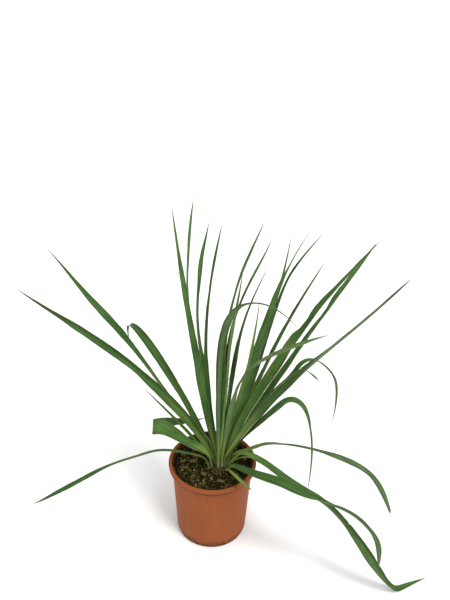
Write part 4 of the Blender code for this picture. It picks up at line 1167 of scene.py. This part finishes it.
def place_on_soil(rng, inner=13.0, outer=73.0):
    while True:
        r = outer * math.sqrt(rng.uniform(0, 1))
        a = rng.uniform(0, 2 * math.pi)
        x, y = r * math.cos(a), r * math.sin(a)
        if math.hypot(x - CROWN_X, y - CROWN_Y) > inner:
            return x, y


def litter():
    rng = np.random.default_rng(417)
    bits = Bits("tone")
    for _ in range(640):
        length = min(9.5, 1.9 + rng.gamma(1.7, 1.25))
        width = length * rng.uniform(0.28, 0.75)
        thick = min(1.6, 0.35 + 0.16 * length * rng.uniform(0.6, 1.4))
        x, y = place_on_soil(rng, 12.0, 72.5 - length / 2)
        v, f = flake(rng, length, width, thick, 8 if length > 4 else 6)
        steep = rng.normal(0, 0.30) if rng.uniform() < 0.8 else rng.normal(0, 0.85)
        v = turned_about(v, rng.uniform(0, 6.283), steep, rng.normal(0, 0.32))
        z = ground(x, y) + 0.15 * thick + 0.25 * abs(math.sin(steep)) * length
        v = v + (x, y, z)
        bright = rng.uniform(0.55, 1.0) if rng.uniform() < 0.17 else rng.beta(1.2, 4.2)
        tone = float(np.clip(bright + 0.03 * (length - 3), 0, 1))
        bits.add(v / 1000, f, tone=tone)
    obj = bits.build("bark_litter", BARK, smooth=False)
    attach(obj, "root")

    bits = Bits("tone")
    for _ in range(1500):
        size = min(4.2, 0.8 + rng.gamma(1.6, 0.55))
        x, y = place_on_soil(rng, 11.0, 73.2 - size / 2)
        v, f = lump(rng, size)
        v = turned_about(v, rng.uniform(0, 6.283), rng.uniform(0, 3), rng.uniform(0, 3))
        v = v + (x, y, ground(x, y) + size * rng.uniform(0.0, 0.32))
        bits.add(v / 1000, f, tone=float(rng.beta(1.1, 4.0)))
    for _ in range(900):
        # Some cling to the wall above the compost, fewer the higher up.
        z = SOIL_Z + 1.0 + min(8.5, rng.gamma(1.5, 2.3))
        a = rng.uniform(0, 2 * math.pi)
        size = rng.uniform(0.8, 2.6)
        v, f = lump(rng, size)
        v = turned_about(v, rng.uniform(0, 6.283), rng.uniform(0, 3), 0)
        r = inner_radius(z) - 0.30 * size
        v = v * (1, 1, 0.8) + (r * math.cos(a), r * math.sin(a), z)
        bits.add(v / 1000, f, tone=float(rng.beta(1.3, 3.0)))
    for _ in range(260):
        # And some lie spilled on the back of the rim: dark crumbs that add to the painted shade there.
        a = math.radians(rng.normal(93, 17))
        size = rng.uniform(0.8, 2.8)
        v, f = lump(rng, size)
        v = turned_about(v, rng.uniform(0, 6.283), rng.uniform(0, 3), 0)
        r = rng.uniform(77.5, 82.5)
        v = v * (1, 1, 0.7) + (r * math.cos(a), r * math.sin(a), POT_H - 0.25 + 0.12 * size)
        bits.add(v / 1000, f, tone=float(rng.beta(1.1, 4.5)))
    obj = bits.build("soil_crumbs", FIBRE, smooth=False)
    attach(obj, "root")

    bits = Bits("tone")
    for _ in range(230):
        length = rng.uniform(3.5, 14)
        x, y = place_on_soil(rng, 9.0, 71.5 - length / 3)
        a, bend = rng.uniform(0, 6.283), rng.normal(0, 0.09)
        n = 9
        path, px, py, heading = [], x, y, a
        for k in range(n):
            lift = 0.5 + rng.uniform(0, 0.5) + 1.3 * math.sin(math.pi * k / (n - 1)) * rng.uniform(0, 1)
            q = math.hypot(px, py)
            if q > 73:
                px, py = px * 73 / q, py * 73 / q
            path.append((px, py, ground(px, py) + lift))
            heading += bend * length / n + rng.normal(0, 0.10)
            px += math.cos(heading) * length / n
            py += math.sin(heading) * length / n
        radius = rng.uniform(0.13, 0.42) * (0.35 + 0.65 * np.sin(np.linspace(0.25, 2.9, n)))
        v, f = tube(path, radius, 5)
        bits.add(v / 1000, f, tone=float(rng.uniform(0.15, 1.0)))
    obj = bits.build("soil_fibres", FIBRE)
    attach(obj, "root")

    # Specks of moss and liverwort: tight groups of tiny round leaves.
    bits = Bits("tone")
    spots = [(-43, -18, 5), (-30, -1, 3), (10, -19, 4), (-14, -50, 8), (-20, -22, 3),
             (-52, -27, 3), (-26, -38, 3), (22, -46, 3), (-36, -24, 2), (34, 12, 3),
             (-30, 42, 3), (-60, 12, 2), (2, -34, 2), (48, -4, 2)]
    for cx, cy, count in spots:
        for _ in range(count):
            x, y = cx + rng.normal(0, 1.3), cy + rng.normal(0, 1.3)
            v, f = flake(rng, rng.uniform(1.3, 2.9), rng.uniform(1.0, 1.9), 0.35, 7)
            v = turned_about(v, rng.uniform(0, 6.283), rng.normal(0.2, 0.3), rng.normal(0, 0.3))
            bits.add((v + (x, y, ground(x, y) + rng.uniform(0.9, 1.9))) / 1000, f,
                     tone=float(rng.uniform(0.3, 1.0)))
    obj = bits.build("moss_specks", MOSS)
    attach(obj, "root")


litter()

# The larger chips, each in place of its CAD solid: x, y, length, width, thickness, turn, tilt.
CHIPS = (
    (-37, 6, 14, 10, 3.2, 10, 4), (-54, -11, 17, 7, 3.0, 4, -3), (-57, 6, 11, 6, 2.6, 35, 3),
    (-39, 35, 10, 7, 2.8, 70, -4), (-36, -33, 13, 8, 3.0, 62, 3), (17, -45, 15, 6, 2.8, -14, -3),
    (-14, -53, 9, 6, 2.4, 40, 2), (-16, -27, 12, 6, 2.6, -35, 4), (46, -27, 12, 7, 3.0, 25, -4),
    (33, -54, 12, 5, 2.4, -30, 2), (62, 18, 11, 7, 2.8, 100, 3), (-58, 27, 10, 6, 2.6, -20, -2),
)


def chip(index, spec):
    """A big flake of pine bark: layered, grooved along the grain, with splintered ends."""
    x0, y0, length, width, thick, turn, tilt = spec
    rng = np.random.default_rng(900 + index)
    rows, cols = 26, 15
    i, j = np.meshgrid(np.linspace(-1, 1, rows), np.linspace(-1, 1, cols), indexing="ij")
    def wob(v, k, scale=2.6):
        return np.array([noise.noise((float(q) * scale, k * 3.1 + index, 0.5)) for q in v.ravel()]
                        ).reshape(v.shape)
    end = 1 + 0.13 * wob(j, 1, 3.4) + 0.07 * wob(j, 2, 9.0)
    side = 1 + 0.16 * wob(i, 3) + 0.06 * wob(i, 4, 8.0)
    narrow = 1 - 0.24 * np.abs(i) ** 2.6
    x, y = i * end * length / 2, j * side * narrow * width / 2
    ridges = np.array([noise.noise((float(a) * 1.2, float(b) * 6.5, index * 1.9))
                       for a, b in zip(i.ravel(), j.ravel())]).reshape(i.shape)
    steps = np.round((0.5 + 0.5 * ridges) * 4) / 4
    rim = np.clip((1 - np.maximum(np.abs(i), np.abs(j))) * 6, 0, 1) ** 0.5
    bow = rng.uniform(-0.05, 0.12) * length
    base = bow * (1 - i**2) * 0.5
    top = base + thick * (0.34 + 0.26 * steps + 0.16 * ridges) * rim
    low = base - thick * (0.30 + 0.14 * ridges) * rim
    n = rows * cols
    verts = np.vstack([np.stack([x.ravel(), y.ravel(), top.ravel()], 1),
                       np.stack([x.ravel(), y.ravel(), low.ravel()], 1)])
    faces = []
    for a in range(rows - 1):
        for b in range(cols - 1):
            p = a * cols + b
            faces.append((p, p + cols, p + cols + 1, p + 1))
            faces.append((n + p, n + p + 1, n + p + cols + 1, n + p + cols))
    loop = ([(a * cols) for a in range(rows)] + [(rows - 1) * cols + b for b in range(1, cols)]
            + [(a * cols + cols - 1) for a in range(rows - 2, -1, -1)]
            + [b for b in range(cols - 2, 0, -1)])
    # The rim's top and bottom are one line of points, so the two skins are welded there.
    for p in loop:
        verts[p, 2] = verts[n + p, 2] = (verts[p, 2] + verts[n + p, 2]) / 2
    v = turned_about(verts, math.radians(turn), math.radians(-tilt) + rng.normal(0, 0.05),
                     rng.normal(0, 0.10))
    v = v + (x0, y0, 0)
    high = max(ground(px, py) - pz for px, py, pz in v[n::7])
    v[:, 2] += high - thick * 0.16
    obj = add_mesh(f"bark_flake_{index:02d}", v / 1000, faces, BARK,
                   floats={"tone": np.full(len(v), float(rng.uniform(0.34, 0.66)))})
    bm = bmesh.new()
    bm.from_mesh(obj.data)
    bmesh.ops.remove_doubles(bm, verts=bm.verts, dist=1e-7)
    bmesh.ops.recalc_face_normals(bm, faces=bm.faces)
    bm.to_mesh(obj.data)
    bm.free()
    obj.data.set_sharp_from_angle(angle=math.radians(50))
    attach(obj, "root")
    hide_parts(f"bark_chip_{index:02d}")


for number, spec in enumerate(CHIPS, 1):
    chip(number, spec)


# ------------------------------------------------------------------ crown
def crown():
    """The short fibrous crown: a knobbly cone, dry sheath scales round the leaf bases, and
    loose fibres where old leaves have rotted away."""
    segments, levels = 72, 26
    profile = ((0.0, 17.0, -38.0), (0.25, 17.2, -10.0), (0.45, 16.6, -1.0), (0.6, 13.5, 3.0),
               (0.75, 10.0, 4.6), (0.9, 5.0, 6.2), (1.0, 0.6, 6.8))
    at = [p[0] for p in profile]
    verts, faces = [], []
    for i in range(levels):
        t = i / (levels - 1)
        r = float(np.interp(t, at, [p[1] for p in profile]))
        z = SOIL_Z + float(np.interp(t, at, [p[2] for p in profile]))
        for k in range(segments):
            a = 2 * math.pi * k / segments
            lumps = 0.9 * noise.noise((3 * math.cos(a), 3 * math.sin(a), t * 5))
            lumps += 0.5 * noise.noise((9 * math.cos(a), 9 * math.sin(a), t * 12))
            rr = max(0.3, r + lumps * min(1, r / 6))
            verts.append(((CROWN_X + rr * math.cos(a)) / 1000, (CROWN_Y + rr * math.sin(a)) / 1000,
                          z / 1000))
    for i in range(levels - 1):
        for k in range(segments):
            n = (k + 1) % segments
            faces.append((i * segments + k, i * segments + n, (i + 1) * segments + n,
                          (i + 1) * segments + k))
    faces.append(tuple(range(segments))[::-1])
    faces.append(tuple(range((levels - 1) * segments, levels * segments)))
    tone = [0.25 + 0.3 * noise.noise((v[0] * 300, v[1] * 300, v[2] * 300)) for v in verts]
    obj = add_mesh("crown_core", verts, faces, SHEATH, floats={"tone": tone})
    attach(obj, "root")
    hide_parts("rootstock")

    rng = np.random.default_rng(77)
    bits = Bits("tone")
    for k in range(34):
        a = k * 2.39996 + rng.normal(0, 0.15)
        radius = rng.uniform(10.5, 17.5)
        height, width = rng.uniform(5, 11), rng.uniform(4.0, 8.0)
        lean = rng.uniform(0.12, 0.55)
        rows, cols = 9, 7
        grid = []
        for i in range(rows):
            t = i / (rows - 1)
            w = width * (1 - 0.75 * t**1.4) * (1 + 0.12 * rng.normal())
            for j in range(cols):
                q = (j / (cols - 1) - 0.5)
                r = radius + lean * height * t - 1.1 * (2 * q) ** 2 + 0.25 * rng.normal()
                r -= 2.0 * (1 - t) ** 2
                turn = a + q * w / max(radius, 6)
                z = SOIL_Z - 2.5 + height * t * (1 - lean * 0.35) - 1.4 * (2 * q) ** 2 * t
                grid.append((CROWN_X + r * math.cos(turn), CROWN_Y + r * math.sin(turn), z))
        grid = np.array(grid)
        centre = np.array((CROWN_X, CROWN_Y, 0.0))
        inward = (grid - centre) * (1, 1, 0)
        inward /= np.linalg.norm(inward, axis=1)[:, None]
        back = grid - inward * 0.45
        v = np.vstack([grid, back])
        n = rows * cols
        f = []
        for i in range(rows - 1):
            for j in range(cols - 1):
                p = i * cols + j
                f.append((p, p + 1, p + cols + 1, p + cols))
                f.append((n + p, n + p + cols, n + p + cols + 1, n + p + 1))
        loop = (list(range(cols)) + [i * cols + cols - 1 for i in range(1, rows)]
                + [(rows - 1) * cols + j for j in range(cols - 2, -1, -1)]
                + [i * cols for i in range(rows - 2, 0, -1)])
        for p, q in zip(loop, loop[1:] + loop[:1]):
            f.append((q, p, n + p, n + q))
        bits.add(v / 1000, f, tone=float(rng.uniform(0.0, 0.55)))
    for _ in range(150):
        a, r = rng.uniform(0, 6.283), rng.uniform(9, 19)
        n = 8
        start = np.array((CROWN_X + r * math.cos(a), CROWN_Y + r * math.sin(a), SOIL_Z + rng.uniform(-1, 3)))
        d = np.array((math.cos(a) * rng.uniform(-0.3, 1.0), math.sin(a) * rng.uniform(-0.3, 1.0),
                      rng.uniform(0.1, 1.1)))
        d += rng.normal(0, 0.35, 3)
        path, p = [], start
        for k in range(n):
            path.append(p.copy())
            d = d + rng.normal(0, 0.16, 3) - (0, 0, 0.10)
            p = p + d / np.linalg.norm(d) * rng.uniform(0.7, 1.35)
            p[2] = max(p[2], ground(p[0], p[1]) + 0.3)
        v, f = tube(path, rng.uniform(0.10, 0.30) * np.linspace(1, 0.35, n), 5)
        bits.add(v / 1000, f, tone=float(rng.uniform(0.3, 1.0)))
    obj = bits.build("crown_sheaths", SHEATH)
    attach(obj, "root")


crown()


def specks():
    """Crumbs of compost stuck to the pot's wall: round the pot in degrees, height and size (mm)."""
    rng = np.random.default_rng(58)
    known = [(-99.5, 80, 1.5), (-84.7, 38, 1.2), (-32.5, 76, 1.3), (-46, 92, 1.0), (-136, 33, 2.2),
             (-134, 31, 1.4), (-105, 60, 0.9), (-83, 42, 0.9)]
    known += [(rng.uniform(-30, 210), rng.uniform(20, 140), rng.uniform(0.7, 1.4)) for _ in range(26)]
    known += [(rng.uniform(0, 360), rng.gamma(1.6, 5.0) + 3.0, rng.uniform(0.7, 1.9)) for _ in range(120)]
    bits = Bits("tone")
    for angle, z, size in known:
        if z > 145:
            continue
        a = math.radians(angle)
        if z > CHAMFER_H:
            r = (BODY_LOW_D + (BODY_TOP_D - BODY_LOW_D) * (z - CHAMFER_H)
                 / (POT_H - RIM_DROP - CHAMFER_H)) / 2
        else:
            r = FOOT_D / 2 + (BODY_LOW_D - FOOT_D) / 2 * z / CHAMFER_H
        v, f = lump(rng, size)
        v = v * (0.45, 1.0, 1.0)
        v = turned_about(v + (r - 0.05 * size, 0, z), a, 0, 0)
        bits.add(v / 1000, f, tone=float(rng.beta(1.2, 4.0)))
    obj = bits.build("pot_specks", FIBRE, smooth=False)
    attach(obj, "root")


specks()


def sprout():
    """The self-sown seedling beside the crown."""
    x, y = -8.6, -3.2
    z = ground(x, y)
    bits = Bits("tone")
    stalk = [(x + 0.15 * math.sin(k * 1.2), y + 0.1 * k / 6, z - 1.0 + k * 0.85) for k in range(7)]
    v, f = tube(stalk, np.linspace(0.62, 0.42, 7), 8)
    bits.add(v / 1000, f, tone=0.5)
    rng = np.random.default_rng(5)
    for k, (turn, size, base) in enumerate(((150, 5.4, 4.0), (265, 4.9, 3.9), (28, 4.2, 3.6),
                                            (205, 3.4, 4.3), (330, 3.2, 2.6))):
        a = math.radians(turn)
        rows, cols = 9, 7
        grid = []
        for i in range(rows):
            t = i / (rows - 1)
            w = size * 0.36 * math.sin(math.pi * min(1, 0.10 + 0.9 * t)) ** 0.8 + 0.12
            for j in range(cols):
                q = (j / (cols - 1) - 0.5) * 2
                lx, ly = 0.5 + size * t, q * w
                lz = 1.5 * math.sin(t * 2.0) * (0.6 + 0.1 * k) + 0.28 * q * q * w + rng.normal(0, 0.03)
                grid.append((x + lx * math.cos(a) - ly * math.sin(a),
                             y + 0.1 + lx * math.sin(a) + ly * math.cos(a), z + base + lz))
        grid = np.array(grid)
        under = grid - (0, 0, 0.22)
        v = np.vstack([grid, under])
        n = rows * cols
        f = []
        for i in range(rows - 1):
            for j in range(cols - 1):
                p = i * cols + j
                f.append((p, p + cols, p + cols + 1, p + 1))
                f.append((n + p, n + p + 1, n + p + cols + 1, n + p + cols))
        loop = (list(range(cols)) + [i * cols + cols - 1 for i in range(1, rows)]
                + [(rows - 1) * cols + j for j in range(cols - 2, -1, -1)]
                + [i * cols for i in range(rows - 2, 0, -1)])
        for p, q in zip(loop, loop[1:] + loop[:1]):
            f.append((p, q, n + q, n + p))
        bits.add(v / 1000, f, tone=float(rng.uniform(0.35, 0.8)))
    obj = bits.build("seedling_sprout", MOSS)
    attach(obj, "root")
    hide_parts("seedling")


sprout()


# ------------------------------------------------------------------ fibres off the margins
def beside(name, s, side, away, lift):
    """Points beside a leaf: past its margin by away and above its upper face by lift, in mm."""
    leaf = LEAVES[name]
    s = np.asarray(s, float)
    point, along, across, out = blade_path(leaf, s)
    share = np.array(WIDTH) * np.array((1, 1, 1, 1, 1, leaf["full"], leaf["full"] ** 2, 1))
    half = smooth_through(WIDTH_AT, share, s) * leaf["width"] / 2000
    fold = np.radians(smooth_through(FOLD_AT, FOLD, s))
    away, lift = np.asarray(away, float), np.asarray(lift, float)
    return (point + across * (side * (half * np.cos(fold) + away / 1000))[:, None]
            + out * (half * np.sin(fold) + lift / 1000)[:, None])


def threads():
    """The whitish fibres that peel off yucca margins."""
    bits = Bits()
    t = np.linspace(0, 1, 60)
    # The long curly one up an inner leaf's left margin.
    s = 0.40 + 0.315 * t
    curl = np.sin(math.pi * t) ** 0.6
    path = beside("leaf_inner_1", s, 1, curl * (1.5 + 2.2 * np.sin(t * 17.0 + 0.5)) + 3.5 * t**3,
                  1.6 * np.sin(t * 23.0))
    v, f = tube(path, 0.00034 * (1 - 0.75 * t) + 0.00006, 6)
    bits.add(v, f)
    # A peeled margin sliver that leaves a right-hand leaf and ends in a dark curled point.
    knots = np.array([(140.0, 46, 371.8), (147.5, 40, 373.5), (157.5, 33, 374.2), (166, 27, 372.5),
                      (173.5, 23, 369.5), (180.5, 20.5, 364.6), (187.5, 20, 358.2), (193.5, 20, 351.5)])
    k = np.linspace(0, len(knots) - 1, 50)
    path = np.stack([np.interp(k, range(len(knots)), knots[:, c]) for c in range(3)], 1) / 1000
    for _ in range(4):
        path[1:-1] = (path[:-2] + 2 * path[1:-1] + path[2:]) / 4
    q = k / k[-1]
    v, f = tube(path, 0.00032 + 0.00135 * np.clip((q - 0.42) / 0.3, 0, 1) * (1 - ramp01(q, 0.78, 1.0)), 6)
    sliver = (v, f)
    # A small curl at the creased leaf's tip.
    a = np.linspace(0, 5.2, 40)
    tip = np.array((-15.6, 59.0, 225.4))
    path = np.stack([tip[0] + 14 * a / 5.2 + 1.9 * np.sin(a), tip[1] + 2.0 * a / 5.2,
                     tip[2] + 5.0 * a / 5.2 + 3.6 * (1 - np.cos(a)) / 2], 1) / 1000
    v, f = tube(path, np.linspace(0.00042, 0.00012, 40), 6)
    bits.add(v, f)
    rng = np.random.default_rng(31)
    for name, side, s0, s1, reach in (
            ("leaf_right_broad", -1, 0.20, 0.34, 2.2), ("leaf_right_1", -1, 0.30, 0.40, 1.8),
            ("leaf_left_long", 1, 0.30, 0.42, 1.8), ("leaf_upright_1", -1, 0.34, 0.44, 1.6),
            ("leaf_right_long", 1, 0.35, 0.46, 1.6), ("leaf_front_hanging", -1, 0.24, 0.36, 1.8),
            ("leaf_back_broad", -1, 0.46, 0.57, 1.6), ("leaf_left_upper", -1, 0.40, 0.50, 1.5),
            ("leaf_right_2", 1, 0.52, 0.60, 1.6), ("leaf_floor", -1, 0.20, 0.30, 1.8),
            ("leaf_left_creased", 1, 0.20, 0.36, 1.6), ("leaf_upright_3", 1, 0.50, 0.58, 1.4)):
        t = np.linspace(0, 1, 36)
        wave = rng.uniform(5, 10)
        off = reach * t**1.5 * (1 + 0.5 * np.sin(wave * t + rng.uniform(0, 6)))
        path = beside(name, s0 + (s1 - s0) * t, side, off, 0.6 * t * np.sin(wave * 1.4 * t))
        v, f = tube(path, 0.00017 * (1 - 0.6 * t), 5)
        bits.add(v, f)
    obj = bits.build("margin_threads", THREAD)
    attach(obj, "root")
    bits = Bits("tone")
    bits.add(*sliver, tone=0.0)
    obj = bits.build("margin_sliver", MOSS)
    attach(obj, "root")


threads()


# ------------------------------------------------------------------ studio
def studio():
    m = Mat("studio_floor", 0.9, 0.1)
    m.put(m.shader.inputs["Base Color"], (0.93, 0.93, 0.925))
    mesh = bpy.data.meshes.new("studio_floor")
    size = 14.0
    mesh.from_pydata([(-size, -size, 0), (size, -size, 0), (size, size, 0), (-size, size, 0)],
                     [], [(0, 1, 2, 3)])
    mesh.materials.append(m.mat)
    floor = bpy.data.objects.new("studio_floor", mesh)
    bpy.context.scene.collection.objects.link(floor)

    world = bpy.data.worlds.new("studio")
    world.use_nodes = True
    back = world.node_tree.nodes["Background"]
    back.inputs["Color"].default_value = (1.0, 1.0, 1.0, 1.0)
    back.inputs["Strength"].default_value = WORLD
    bpy.context.scene.world = world

    for name, place, strength, soft in SUNS:
        data = bpy.data.lights.new(name, "SUN")
        data.energy, data.angle = strength, math.radians(soft)
        made = bpy.data.objects.new(name, data)
        made.rotation_euler = (-Vector(place)).to_track_quat("-Z", "Y").to_euler()
        bpy.context.scene.collection.objects.link(made)

    data = bpy.data.cameras.new("camera")
    data.sensor_width, data.lens = 36.0, 45.57
    data.clip_end = 100.0
    camera = bpy.data.objects.new("camera", data)
    ahead, right = Vector((0, 0.8495, -0.5276)).normalized(), Vector((1, 0, 0))
    down = ahead.cross(right)
    roll = math.radians(-1.45)
    r2 = right * math.cos(roll) + down * math.sin(roll)
    d2 = right * -math.sin(roll) + down * math.cos(roll)
    turn = Matrix((r2, -d2, -ahead)).transposed()
    camera.matrix_world = Matrix.Translation((0.0165, -1.08355, 1.20727)) @ turn.to_4x4()
    bpy.context.scene.collection.objects.link(camera)
    bpy.context.scene.camera = camera
    bpy.context.scene.view_settings.view_transform = "Standard"


WORLD = 0.90
SUNS = (
    ("key_light", (0.62, -0.78, 2.2), 1.56, 16.0),
    ("side_light", (1.1, -1.5, 1.3), 0.35, 30.0),
)
studio()
